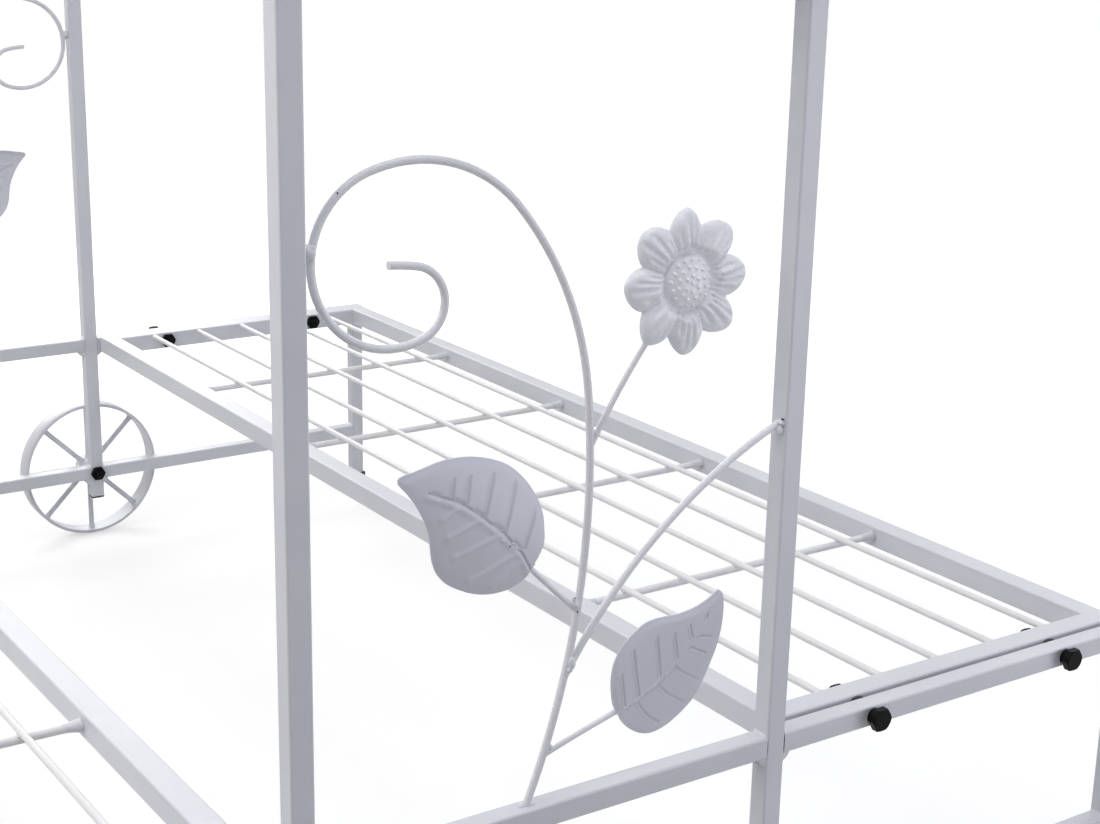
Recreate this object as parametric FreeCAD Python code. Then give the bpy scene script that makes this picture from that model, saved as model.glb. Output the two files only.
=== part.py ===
"""Flower cart stand: two welded tube end frames with wire flower ornament carry three wire shelves.

Millimetres, +Z up. The origin is on the floor under the middle of the stand. The shelves run
along Y, the end frames stand across X at both ends, and the front frame is the one at -Y.
The rear frame is the same welding turned half a turn about Z.
"""
import FreeCAD, Part
import math
import os

V = FreeCAD.Vector
X_AXIS = V(1, 0, 0)
Y_AXIS = V(0, 1, 0)
Z_AXIS = V(0, 0, 1)

# ---------------------------------------------------------------- driving dimensions (mm)
# Tube stock
frame_tube = 12.7           # square tube of the end frames, over the flats
frame_wall = 1.0
shelf_tube = 16.0           # square tube of the shelf frames
shelf_wall = 1.0
corner_radius = 1.3         # outside corner of both tubes

# Shelves
low_shelf_depth = 296.0     # size of a low shelf across X
shelf_length = 1036.8       # size of every shelf along Y
low_shelf_top = 215.0       # height of the low shelves
top_shelf_top = 650.0       # height of the top shelf
long_wire_diameter = 4.5
cross_wire_diameter = 5.2
long_wire_pitch = 48.3
cross_wire_pitch = 204.0
wire_recess = 0.3           # the long wires lie this far below the top of the shelf tube
wire_gap = 0.1              # paint-thick gap where wires cross

# End frames
post_gap = 281.6            # clear width between the two centre posts
shelf_side_gap = 2.5        # a low shelf starts this far outside the post
leg_overhang = 4.6          # a leg's outer face stands this far outside the shelf
bolted_gap = 2.0            # spacer between end frame and shelf
post_below_stretcher = 25.0 # a post runs this far below the stretcher's centre
post_above_shelf = 15.0     # the posts end, and the arched handle begins, this far above the top shelf
sleeve_length = 60.0        # joiner sleeve, half in the post and half in the arch
sleeve_fit = 0.25
arch_sleeve_room = 5.0      # the arch stays straight this far past its sleeve

# Shelf bolts (M8 hexagon)
bolt_diameter = 8.0
bolt_hole_clearance = 0.4   # on the diameter
hex_across_flats = 13.0
bolt_head_height = 5.3
bolt_collar_diameter = 10.0
bolt_collar_length = 3.0    # collar between a shelf bolt's head and the end frame's rail
nut_height = 4.0            # thin nuts, which stay under the shelf's top
bolt_wire_offset = 14.3     # bolt axis inside the outermost long wire, which its nut has to clear
bolt_tail = 3.0             # thread that stands out of the nut
thread_gap = 0.1            # between a bolt's thread and its nut
spacer_diameter = 14.0

# Wheels
wheel_diameter = 138.7
wheel_floor_gap = 2.0       # the decorative wheels clear the floor
rim_width = 20.0
rim_thickness = 3.0
spoke_count = 8
spoke_diameter = 5.0
hub_diameter = 20.0
hub_length = 24.0
hub_side_gap = 0.5          # between hub and post, and between hub and bolt head
axle_running_clearance = 0.1

# Plastic parts
foot_height = 22.0
foot_base = 4.0
foot_wall = 1.9
foot_fit = 0.1
plug_flange = 2.0
plug_depth = 12.0
plug_fit = 0.2

# Wire ornament, drawn in the plane of the front frame: X to the right, Z up, headings from +X
scroll_diameter = 4.1
scroll_post_gap = 2.8       # clear gap between scroll and left post, which the tab bridges
scroll_foot_heading = 67.2
scroll_radii = (443.9, 173.0, 75.4, 42.0, 17.9, 112.7)        # of its bends, from the foot
scroll_turns = (28.4, 35.7, 67.1, 182.8, 148.0, 7.8)          # degrees of each bend, all to the left
tab_diameter = 6.0
tab_rise = 6.8              # of the tab over the scroll's leftmost point
branch_diameter = 4.0
branch_start = 70.5         # where it leaves the scroll, along the wire from its foot
branch_end_height = 183.2   # where it meets the right post, above the shelf rail
branch_bow = 14.6           # height of its arc over the chord, to the left of its heading
stem_diameter = 3.2
stem_lap = 12.0             # length of stem behind a leaf or the flower's disc
flower_stem = {"start": 192.7, "heading": 54.7, "reach": 95.3, "bow": 2.4, "aside": 0.0}
upper_leaf_stem = {"start": 106.1, "heading": 135.1, "reach": 43.0, "bow": 0.3, "aside": -1.7}
lower_leaf_stem = {"start": 27.7, "heading": 15.7, "reach": 46.2, "bow": 0.6, "aside": 0.0}

# Pressed leaf: outline stations as shares of its length along the midrib and of its width
leaf_length = 93.0
leaf_width = 65.0
leaf_thickness = 1.2
leaf_bow_radius = 95.0
leaf_right_side = ((-0.01, -0.143), (0.09, -0.415), (0.34, -0.568), (0.61, -0.498), (0.86, -0.266))
leaf_left_side = ((0.86, 0.054), (0.68, 0.193), (0.39, 0.429), (0.10, 0.286), (0.0, 0.072))
leaf_notch = 0.02
upper_leaf_heading = 142.0  # of the midrib
lower_leaf_heading = 39.2

# Cast flower
flower_radius = 38.4
flower_valley_radius = 29.0
petal_shoulder_radius = 35.2
petal_count = 8
petal_turn = -3.0           # degrees of the first petal from straight up
disc_radius = 14.7
disc_height = 8.0
petal_crown = 5.0
petal_thickness = 1.8
ornament_gap = 0.1          # paint-thick gap between a stem and what it carries

# ---------------------------------------------------------------- derived places
stretcher_height = wheel_floor_gap + wheel_diameter / 2               # of the stretchers and wheel axles
post_centre_x = (post_gap + frame_tube) / 2
post_outer_x = post_gap / 2 + frame_tube
low_shelf_inner_x = post_outer_x + shelf_side_gap
low_shelf_outer_x = low_shelf_inner_x + low_shelf_depth
leg_outer_x = low_shelf_outer_x + leg_overhang
leg_centre_x = leg_outer_x - frame_tube / 2
shelf_end_y = shelf_length / 2
frame_inner_y = shelf_end_y + bolted_gap
frame_centre_y = frame_inner_y + frame_tube / 2
frame_outer_y = frame_inner_y + frame_tube
low_rail_height = low_shelf_top - shelf_tube / 2
top_rail_height = top_shelf_top - shelf_tube / 2
low_rail_top = low_rail_height + frame_tube / 2
post_top = top_shelf_top + post_above_shelf
arch_spring_height = post_top + sleeve_length / 2 + arch_sleeve_room
post_bottom = stretcher_height - post_below_stretcher
bolt_hole_radius = (bolt_diameter + bolt_hole_clearance) / 2
hub_inner_y = frame_outer_y + hub_side_gap
hub_outer_y = hub_inner_y + hub_length
long_wire_height = -wire_recess - long_wire_diameter / 2            # below the shelf's top
cross_wire_height = long_wire_height - (long_wire_diameter + cross_wire_diameter) / 2 - wire_gap
scroll_bends = tuple(zip(scroll_radii, scroll_turns))
far_away = 4 * (leg_outer_x + frame_outer_y + post_top)              # larger than the stand


def spread(width, pitch, middle):
    """Places at a pitch, as many as fit in a width, around its middle."""
    count = int(width / pitch)
    return [middle + pitch * (place - (count - 1) / 2) for place in range(count)]


def long_wire_xs(low_x, high_x):
    """X of every long wire of the shelf between two X planes."""
    return spread(high_x - low_x - 2 * shelf_tube, long_wire_pitch, (low_x + high_x) / 2)


def shelf_bolt_xs(low_x, high_x):
    """X of the two bolts at each end of the shelf between two X planes."""
    wires = long_wire_xs(low_x, high_x)
    return (wires[0] + bolt_wire_offset, wires[-1] - bolt_wire_offset)


low_bolt_xs = shelf_bolt_xs(low_shelf_inner_x, low_shelf_outer_x)
top_bolt_xs = shelf_bolt_xs(-post_outer_x, post_outer_x)


# ---------------------------------------------------------------- shape helpers
def rounded_square(size, radius):
    """Closed wire of a square with rounded corners, around the origin in the XY plane."""
    half = size / 2
    flat = half - radius
    edges = []
    for quarter in range(4):
        turn = FreeCAD.Rotation(Z_AXIS, 90 * quarter)
        side = (V(half, -flat, 0), V(half, flat, 0))
        bulge = flat + radius * math.sqrt(0.5)
        corner = (V(half, flat, 0), V(bulge, bulge, 0), V(flat, half, 0))
        edges.append(Part.LineSegment(*[turn.multVec(p) for p in side]).toShape())
        edges.append(Part.Arc(*[turn.multVec(p) for p in corner]).toShape())
    return Part.Wire(edges)


def tube_section(size, wall):
    """Face of a square tube's section, around the origin in the XY plane."""
    outer = Part.Face(rounded_square(size, corner_radius))
    bore = Part.Face(rounded_square(size - 2 * wall, max(corner_radius - wall, wall / 4)))
    return outer.cut(bore).Faces[0]


def straight_tube(start, end, size, wall):
    """Hollow square tube whose centre line runs from start to end."""
    run = end.sub(start)
    section = tube_section(size, wall)
    section.Placement = FreeCAD.Placement(start, FreeCAD.Rotation(Z_AXIS, run))
    return section.extrude(run)


def block(low, high):
    """Solid box between its lowest and highest corners."""
    return Part.makeBox(high.x - low.x, high.y - low.y, high.z - low.z, low)


def cut_beyond(shape, point, direction):
    """Cut away all of a shape that lies past a plane, on the side that direction points to."""
    side = Part.makeBox(far_away, far_away, far_away, V(-far_away / 2, -far_away / 2, 0))
    side.Placement = FreeCAD.Placement(point, FreeCAD.Rotation(Z_AXIS, direction))
    return shape.cut(side)


def rod(start, end, diameter):
    """Round bar from start to end."""
    run = end.sub(start)
    return Part.makeCylinder(diameter / 2, run.Length, start, run)


def hole_along_y(x, z, radius):
    """Drill that runs right through the stand along Y."""
    return Part.makeCylinder(radius, far_away, V(x, -far_away / 2, z), Y_AXIS)


def ring(inner_radius, outer_radius, start, end):
    """Tube-shaped solid of revolution from start to end."""
    run = end.sub(start)
    outer = Part.makeCylinder(outer_radius, run.Length, start, run)
    return outer.cut(Part.makeCylinder(inner_radius, run.Length, start, run))


def hexagon(start, end, across_flats):
    """Hexagonal prism from start to end with two flats up and down."""
    run = end.sub(start)
    corner = across_flats / math.sqrt(3)
    points = []
    for step in range(7):
        angle = math.radians(60 * step + 30)
        points.append(V(start.x + corner * math.sin(angle), start.y, start.z + corner * math.cos(angle)))
    return Part.Face(Part.makePolygon(points)).extrude(run)


def wire_along(edges, diameter):
    """Round wire swept along a chain of edges."""
    path = Part.Wire(edges)
    first = path.OrderedEdges[0]
    start = path.OrderedVertexes[0].Point
    at_start = first.FirstParameter if first.valueAt(first.FirstParameter).isEqual(start, 1e-6) \
        else first.LastParameter
    circle = Part.Wire([Part.Circle(start, first.tangentAt(at_start), diameter / 2).toShape()])
    return path.makePipeShell([circle], True, False)


def in_frame_plane(point):
    """Place a point of the ornament's drawing in the middle plane of the front frame."""
    return V(point[0], -frame_centre_y, point[1])


def ahead(point, heading, distance):
    """Point of the drawing at a distance along a heading."""
    angle = math.radians(heading)
    return (point[0] + distance * math.cos(angle), point[1] + distance * math.sin(angle))


def along_bends(start, heading, bends, distance):
    """Point of the drawing at a distance along a wire that turns left through a list of bends."""
    point = start
    for radius, turn in bends:
        length = radius * math.radians(turn)
        turned = math.degrees(min(distance, length) / radius)
        centre = ahead(point, heading + 90, radius)
        point = ahead(centre, heading - 90 + turned, radius)
        heading += turned
        distance -= length
        if distance <= 0:
            break
    return point


def bent_wire(start, heading, bends, diameter):
    """Wire bent in the frame's plane: each bend turns to the left by its angle on its radius."""
    edges = []
    travelled = 0
    for radius, turn in bends:
        length = radius * math.radians(turn)
        stops = [along_bends(start, heading, bends, travelled + length * share) for share in (0, 0.5, 1)]
        edges.append(Part.Arc(*[in_frame_plane(stop) for stop in stops]).toShape())
        travelled += length
    return wire_along(edges, diameter)


def bowed_wire(start, end, bow, diameter):
    """Wire on one arc from start to end that rises by its bow to the left of the chord."""
    heading = math.degrees(math.atan2(end[1] - start[1], end[0] - start[0]))
    middle = ((start[0] + end[0]) / 2, (start[1] + end[1]) / 2)
    crest = ahead(middle, heading + 90, bow)
    arc = Part.Arc(*[in_frame_plane(point) for point in (start, crest, end)])
    return wire_along([arc.toShape()], diameter)


# ---------------------------------------------------------------- end frame (front)
def posts_and_arch():
    """Two centre posts with an arched handle on top; joiner sleeves hold it."""
    parts = {}
    for name, side in (("left", -1), ("right", 1)):
        x = side * post_centre_x
        post = straight_tube(V(x, -frame_centre_y, post_bottom), V(x, -frame_centre_y, post_top),
                             frame_tube, frame_wall)
        parts["post_" + name] = post.cut(hole_along_y(x, stretcher_height, bolt_hole_radius))
    section = tube_section(frame_tube, frame_wall)
    section.translate(V(post_centre_x, -frame_centre_y, arch_spring_height))
    arch = section.revolve(V(0, -frame_centre_y, arch_spring_height), Y_AXIS, -180)
    for side in (-1, 1):
        x = side * post_centre_x
        arch = arch.fuse(straight_tube(V(x, -frame_centre_y, post_top),
                                       V(x, -frame_centre_y, arch_spring_height), frame_tube, frame_wall))
    parts["arch"] = arch.removeSplitter()
    return parts


def legs_and_rails():
    """Outer legs mitred into the shelf-level rail, with stretchers and the top rail."""
    parts = {}
    y = -frame_centre_y
    for name, side in (("left", -1), ("right", 1)):
        corner = V(side * leg_outer_x, y, low_rail_top)
        leg = straight_tube(V(side * leg_centre_x, y, foot_base), V(side * leg_centre_x, y, low_rail_top),
                            frame_tube, frame_wall)
        parts["leg_" + name] = cut_beyond(leg, corner, V(-side, 0, 1))

    low_rails = [rail_between(-post_gap / 2, post_gap / 2, low_rail_height)]
    stretchers = [rail_between(-post_gap / 2, post_gap / 2, stretcher_height)]
    for side in (-1, 1):
        rail = rail_between(side * post_outer_x, side * leg_outer_x, low_rail_height)
        low_rails.append(cut_beyond(rail, V(side * leg_outer_x, y, low_rail_top), V(side, 0, -1)))
        leg_inner_x = side * (leg_outer_x - frame_tube)
        stretchers.append(rail_between(side * post_outer_x, leg_inner_x, stretcher_height))
    for x in low_bolt_xs:
        for side in (-1, 1):
            low_rails = [rail.cut(hole_along_y(side * x, low_rail_height, bolt_hole_radius))
                         for rail in low_rails]
    parts["shelf_rails"] = Part.makeCompound(low_rails)
    parts["stretcher_rails"] = Part.makeCompound(stretchers)

    top_rail = rail_between(-post_gap / 2, post_gap / 2, top_rail_height)
    for x in top_bolt_xs:
        top_rail = top_rail.cut(hole_along_y(x, top_rail_height, bolt_hole_radius))
    parts["top_rail"] = top_rail
    return parts


def rail_between(start_x, end_x, height):
    """Frame tube across X at a height."""
    return straight_tube(V(start_x, -frame_centre_y, height), V(end_x, -frame_centre_y, height),
                         frame_tube, frame_wall)


def leftmost_point(start):
    """Point of the scroll's centre line that lies furthest to the left, for a scroll that starts here."""
    length = sum(radius * math.radians(turn) for radius, turn in scroll_bends)
    steps = 400
    return min(along_bends(start, scroll_foot_heading, scroll_bends, length * step / steps)
               for step in range(steps))


def scroll_foot():
    """Where the scroll leaves the shelf rail, so that its far side stays clear of the left post."""
    leftmost_x = leftmost_point((0, 0))[0]
    return (scroll_post_gap + scroll_diameter / 2 - post_gap / 2 - leftmost_x, low_rail_top)


def on_scroll(distance):
    """Point of the drawing on the scroll's centre line at a distance from its foot."""
    return along_bends(scroll_foot(), scroll_foot_heading, scroll_bends, distance)


def scroll_and_branches():
    """The main scroll wire, and the branch, stems and tab that are welded to it."""
    run_in = scroll_diameter        # the sweep starts inside the rail and is trimmed at its top
    run_in_turn = math.degrees(run_in / scroll_bends[0][0])
    first_bend = (scroll_bends[0][0], scroll_bends[0][1] + run_in_turn)
    start = ahead(scroll_foot(), scroll_foot_heading - run_in_turn / 2, -run_in)
    scroll = bent_wire(start, scroll_foot_heading - run_in_turn, (first_bend,) + scroll_bends[1:],
                       scroll_diameter)
    scroll = cut_beyond(scroll, V(0, 0, low_rail_top), V(0, 0, -1))

    face_x = post_gap / 2
    branch_end = (face_x + branch_diameter / 2, low_rail_top + branch_end_height)
    branch = bowed_wire(on_scroll(branch_start), branch_end, branch_bow, branch_diameter)
    wires = [cut_beyond(branch, V(face_x, 0, 0), X_AXIS)]
    laps = ((flower_stem, -stem_lap), (upper_leaf_stem, stem_lap), (lower_leaf_stem, stem_lap))
    for stem, lap in laps:
        start = on_scroll(stem["start"])
        end = ahead(start, stem["heading"], stem["reach"] + lap)
        wires.append(bowed_wire(start, end, stem["bow"], stem_diameter))
    leftmost = leftmost_point(scroll_foot())
    tab_end = (leftmost[0], leftmost[1] + tab_rise)
    wires.append(rod(in_frame_plane((-face_x, tab_end[1])), in_frame_plane(tab_end), tab_diameter))
    trimmed = [largest_solid(wire.cut(scroll)) for wire in wires]
    return {"scroll_wire": scroll, "vine_branches": Part.makeCompound(trimmed)}


def carried_place(stem):
    """Point of the drawing where a stem carries its leaf or flower: past its end and a little aside."""
    end = ahead(on_scroll(stem["start"]), stem["heading"], stem["reach"])
    return ahead(end, stem["heading"] - 90, stem["aside"])


def largest_solid(shape):
    """The one that stays of a shape that a cut left in several pieces."""
    return max(shape.Solids, key=lambda solid: solid.Volume)


def leaf(stem, heading):
    """Pressed sheet leaf with a notched foot and a beaked tip, bowed across its midrib."""
    base = carried_place(stem)
    notch = (leaf_notch, 0.0)
    tip = (1.0, 0.0)
    right = Part.BSplineCurve()
    right.interpolate([V(s * leaf_length, n * leaf_width, 0) for s, n in (notch,) + leaf_right_side + (tip,)])
    left = Part.BSplineCurve()
    left.interpolate([V(s * leaf_length, n * leaf_width, 0) for s, n in (tip,) + leaf_left_side + (notch,)])
    outline = Part.Face(Part.Wire([right.toShape(), left.toShape()]))
    outline.translate(V(0, 0, -leaf_length))
    blank = outline.extrude(V(0, 0, 2 * leaf_length))
    bow_start = V(-leaf_length, 0, -leaf_bow_radius)
    bow_end = V(2 * leaf_length, 0, -leaf_bow_radius)
    sheet = blank.common(ring(leaf_bow_radius - leaf_thickness, leaf_bow_radius, bow_start, bow_end))
    front = [solid for solid in sheet.Solids if solid.CenterOfMass.z > -leaf_bow_radius][0]
    # The drawing plane XY becomes XZ, with the bow's crown towards -Y.
    front.rotate(V(0, 0, 0), X_AXIS, 90)
    front.rotate(V(0, 0, 0), Y_AXIS, -heading)
    back_y = frame_centre_y + stem_diameter / 2 + ornament_gap + leaf_thickness
    front.translate(V(base[0], -back_y, base[1]))
    return front


def around_flower(radius, angle):
    """Point on the flower's back plane at a radius and an angle in degrees, clockwise from the top."""
    turn = math.radians(angle)
    return V(radius * math.sin(turn), 0, radius * math.cos(turn))


def flower():
    """Cast flower: a domed disc and a ring of arched petals, with a flat back behind the disc."""
    outline = []
    half_step = 180 / petal_count
    for petal in range(petal_count):
        middle = petal_turn + 2 * half_step * petal
        tip = around_flower(flower_radius, middle)
        for side in (-1, 1):
            shoulder = around_flower(petal_shoulder_radius, middle + side * half_step / 2)
            valley = around_flower(flower_valley_radius, middle + side * half_step)
            ends = (valley, shoulder, tip)[::-side]
            outline.append(Part.Arc(*ends).toShape())
    petals = Part.Face(Part.Wire(outline))
    petals.translate(V(0, -2 * disc_height, 0))
    petals = petals.extrude(V(0, 4 * disc_height, 0))

    reach = flower_radius + petal_thickness
    middle_radius = (disc_radius + reach) / 2
    dome_middle = 0.7               # the dome passes through this share of the disc's radius and height
    dome = Part.Arc(V(0, -disc_height, 0), V(disc_radius * dome_middle, -disc_height * dome_middle, 0),
                    V(disc_radius, -petal_thickness, 0)).toShape()
    crown = Part.Arc(V(disc_radius, -petal_thickness, 0),
                     V(middle_radius, -petal_thickness - petal_crown, 0),
                     V(reach, -petal_thickness, 0)).toShape()
    rim = Part.LineSegment(V(reach, -petal_thickness, 0), V(reach, 0, 0)).toShape()
    under = Part.Arc(V(reach, 0, 0), V(middle_radius, -petal_crown, 0), V(disc_radius, 0, 0)).toShape()
    back = Part.LineSegment(V(disc_radius, 0, 0), V(0, 0, 0)).toShape()
    axis_line = Part.LineSegment(V(0, 0, 0), V(0, -disc_height, 0)).toShape()
    profile = Part.Face(Part.Wire([dome, crown, rim, under, back, axis_line]))
    casting = profile.revolve(V(0, 0, 0), Y_AXIS, 360).common(petals)
    back_y = frame_centre_y + stem_diameter / 2 + ornament_gap
    centre = carried_place(flower_stem)
    casting.translate(V(centre[0], -back_y, centre[1]))
    return casting


def end_frame():
    """All pieces of the front end frame, by their names without the word front."""
    parts = {}
    parts.update(posts_and_arch())
    parts.update(legs_and_rails())
    parts.update(scroll_and_branches())
    parts["flower"] = flower()
    parts["upper_leaf"] = leaf(upper_leaf_stem, upper_leaf_heading)
    parts["lower_leaf"] = leaf(lower_leaf_stem, lower_leaf_heading)
    return parts


def turned_to_rear(shape):
    """Copy of a front piece turned half a turn about Z, to the rear."""
    copy = shape.copy()
    copy.rotate(V(0, 0, 0), Z_AXIS, 180)
    return copy


# ---------------------------------------------------------------- shelves
def shelf(low_x, high_x, top, side_names, bolt_xs):
    """Mitred tube frame with welded wires between two X planes; its top is at the height given."""
    parts = {}
    centre_z = top - shelf_tube / 2
    half = shelf_tube / 2
    corners = {(-1, -1): V(low_x, -shelf_end_y, centre_z), (1, -1): V(high_x, -shelf_end_y, centre_z),
               (-1, 1): V(low_x, shelf_end_y, centre_z), (1, 1): V(high_x, shelf_end_y, centre_z)}
    for name, side in zip(side_names, (-1, 1)):
        x = (low_x if side < 0 else high_x) - side * half
        rail = straight_tube(V(x, -shelf_end_y, centre_z), V(x, shelf_end_y, centre_z),
                             shelf_tube, shelf_wall)
        for end in (-1, 1):
            rail = cut_beyond(rail, corners[side, end], V(-side, end, 0))
        parts[name + "_rail"] = rail
    for name, end in (("front", -1), ("rear", 1)):
        y = end * (shelf_end_y - half)
        rail = straight_tube(V(low_x, y, centre_z), V(high_x, y, centre_z), shelf_tube, shelf_wall)
        for side in (-1, 1):
            rail = cut_beyond(rail, corners[side, end], V(side, -end, 0))
        for x in bolt_xs:
            rail = rail.cut(hole_along_y(x, centre_z, bolt_hole_radius))
        parts[name + "_rail"] = rail

    inner_length = shelf_length - 2 * shelf_tube
    wires = []
    for x in long_wire_xs(low_x, high_x):
        z = top + long_wire_height
        wires.append(rod(V(x, -inner_length / 2, z), V(x, inner_length / 2, z), long_wire_diameter))
    for y in spread(inner_length, cross_wire_pitch, 0):
        z = top + cross_wire_height
        wires.append(rod(V(low_x + shelf_tube, y, z), V(high_x - shelf_tube, y, z), cross_wire_diameter))
    parts["wires"] = Part.makeCompound(wires)
    return parts


# ---------------------------------------------------------------- fasteners, feet and wheels
def bolt_places():
    """X and Z of every shelf bolt, the same at both ends."""
    places = [(side * x, low_rail_height) for side in (-1, 1) for x in low_bolt_xs]
    places += [(x, top_rail_height) for x in top_bolt_xs]
    return places


def shelf_fasteners():
    """Hexagon bolts, spacers and nuts that hold the shelves between the end frames."""
    bolts = []
    spacers = []
    nuts = []
    shelf_inner_y = shelf_end_y - shelf_tube
    for end in (-1, 1):
        for x, z in bolt_places():
            face = V(x, end * frame_outer_y, z)
            head_start = V(x, end * (frame_outer_y + bolt_collar_length), z)
            head_end = V(x, end * (frame_outer_y + bolt_collar_length + bolt_head_height), z)
            head = hexagon(head_start, head_end, hex_across_flats)
            collar = rod(face, head_start, bolt_collar_diameter)
            nut_end = shelf_inner_y - nut_height
            shank = rod(face, V(x, end * (nut_end - bolt_tail), z), bolt_diameter)
            bolts.append(head.fuse([collar, shank]))
            spacers.append(ring(bolt_hole_radius, spacer_diameter / 2, V(x, end * shelf_end_y, z),
                                V(x, end * frame_inner_y, z)))
            nut = hexagon(V(x, end * shelf_inner_y, z), V(x, end * nut_end, z), hex_across_flats)
            nuts.append(nut.cut(hole_along_y(x, z, bolt_diameter / 2 + thread_gap)))
    return {"shelf_bolts": Part.makeCompound(bolts), "shelf_spacers": Part.makeCompound(spacers),
            "shelf_nuts": Part.makeCompound(nuts)}


def wheel_fasteners():
    """Axle bolts through hub and post, with nuts behind the posts."""
    bolts = []
    nuts = []
    head_y = hub_outer_y + hub_side_gap
    nut_end = frame_inner_y - nut_height
    for end in (-1, 1):
        for side in (-1, 1):
            x = side * post_centre_x
            head = hexagon(V(x, end * head_y, stretcher_height),
                           V(x, end * (head_y + bolt_head_height), stretcher_height), hex_across_flats)
            shank = rod(V(x, end * head_y, stretcher_height),
                        V(x, end * (nut_end - bolt_tail), stretcher_height), bolt_diameter)
            bolts.append(head.fuse(shank))
            nut = hexagon(V(x, end * frame_inner_y, stretcher_height), V(x, end * nut_end, stretcher_height),
                          hex_across_flats)
            nuts.append(nut.cut(hole_along_y(x, stretcher_height, bolt_diameter / 2 + thread_gap)))
    return {"axle_bolts": Part.makeCompound(bolts), "axle_nuts": Part.makeCompound(nuts)}


def wheel(side, end):
    """Rim with welded spokes, and the hub that runs on the axle bolt."""
    x = side * post_centre_x
    middle_y = end * (hub_inner_y + hub_outer_y) / 2
    rim_inner_radius = wheel_diameter / 2 - rim_thickness
    rim = ring(rim_inner_radius, wheel_diameter / 2, V(x, middle_y - rim_width / 2, stretcher_height),
               V(x, middle_y + rim_width / 2, stretcher_height))
    centre = V(x, middle_y, stretcher_height)
    for step in range(spoke_count):
        angle = 2 * math.pi * step / spoke_count
        outwards = V(math.sin(angle), 0, math.cos(angle))
        start = centre.add(V(outwards).multiply(hub_diameter / 2 - spoke_diameter / 4))
        finish = centre.add(V(outwards).multiply(rim_inner_radius + rim_thickness / 2))
        rim = rim.fuse(rod(start, finish, spoke_diameter))
    hub_room = Part.makeCylinder(hub_diameter / 2 + ornament_gap / 2, far_away,
                                 V(x, -far_away / 2, stretcher_height), Y_AXIS)
    hub = ring(bolt_diameter / 2 + axle_running_clearance, hub_diameter / 2,
               V(x, end * hub_inner_y, stretcher_height), V(x, end * hub_outer_y, stretcher_height))
    return rim.cut(hub_room), hub


def foot(side, end):
    """Plastic cap under an outer leg."""
    half = frame_tube / 2 + foot_fit + foot_wall
    room = frame_tube / 2 + foot_fit
    x = side * leg_centre_x
    y = end * frame_centre_y
    cap = block(V(x - half, y - half, 0), V(x + half, y + half, foot_height))
    cap = cap.makeFillet(foot_wall, [edge for edge in cap.Edges if edge.tangentAt(0).isEqual(Z_AXIS, 1e-6)
                                     or edge.tangentAt(0).isEqual(V(0, 0, -1), 1e-6)])
    return cap.cut(block(V(x - room, y - room, foot_base), V(x + room, y + room, foot_height)))


def plugs_and_sleeves():
    """Plastic plugs under the posts, and the joiner sleeves inside posts and arches."""
    plugs = []
    sleeves = []
    bore = frame_tube - 2 * frame_wall
    for end in (-1, 1):
        for side in (-1, 1):
            x = side * post_centre_x
            y = end * frame_centre_y
            half = frame_tube / 2
            neck = bore / 2 - plug_fit
            flange = block(V(x - half, y - half, post_bottom - plug_flange),
                           V(x + half, y + half, post_bottom))
            plug = block(V(x - neck, y - neck, post_bottom), V(x + neck, y + neck, post_bottom + plug_depth))
            plugs.append(flange.fuse(plug))
            sleeves.append(straight_tube(V(x, y, post_top - sleeve_length / 2),
                                         V(x, y, post_top + sleeve_length / 2),
                                         bore - 2 * sleeve_fit, frame_wall))
    return {"post_plugs": Part.makeCompound(plugs), "arch_sleeves": Part.makeCompound(sleeves)}


# ---------------------------------------------------------------- the whole stand
def all_parts():
    """Every node's shape by name."""
    parts = {}
    swapped = {"left": "right", "right": "left"}
    for name, shape in end_frame().items():
        parts["front_" + name] = shape
        words = [swapped.get(word, word) for word in name.split("_")]
        parts["rear_" + "_".join(words)] = turned_to_rear(shape)

    low_xs = (low_shelf_inner_x, low_shelf_outer_x)
    shelves = (("right_shelf", low_xs[0], low_xs[1], low_shelf_top, ("inner", "outer"), low_bolt_xs),
               ("left_shelf", -low_xs[1], -low_xs[0], low_shelf_top, ("outer", "inner"),
                [-x for x in low_bolt_xs]),
               ("top_shelf", -post_outer_x, post_outer_x, top_shelf_top, ("left", "right"), top_bolt_xs))
    for shelf_name, low_x, high_x, top, side_names, bolt_xs in shelves:
        for name, shape in shelf(low_x, high_x, top, side_names, bolt_xs).items():
            parts[shelf_name + "_" + name] = shape

    parts.update(shelf_fasteners())
    parts.update(wheel_fasteners())
    parts.update(plugs_and_sleeves())
    for end_name, end in (("front", -1), ("rear", 1)):
        for side_name, side in (("left", -1), ("right", 1)):
            place = end_name + "_" + side_name
            parts["foot_" + place] = foot(side, end)
            parts["wheel_" + place], parts["hub_" + place] = wheel(side, end)
    return parts


os.makedirs("parts", exist_ok=True)
for node, shape in all_parts().items():
    shape.exportStep(os.path.join("parts", node + ".step"))
    print(node, len(shape.Solids), round(shape.Volume), shape.isValid())
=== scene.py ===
# %% [markdown]
# # Flower cart stand
# Two welded tube end frames with a wire flower ornament carry a tall middle shelf and a low wire shelf
# on each side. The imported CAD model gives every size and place. This lesson dresses it: powder coat and
# black steel as node materials, and numpy surfaces for the pressed, cast and welded details.

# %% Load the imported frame
import math

import bmesh
import bpy
import numpy as np
from mathutils import Matrix, Vector


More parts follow.
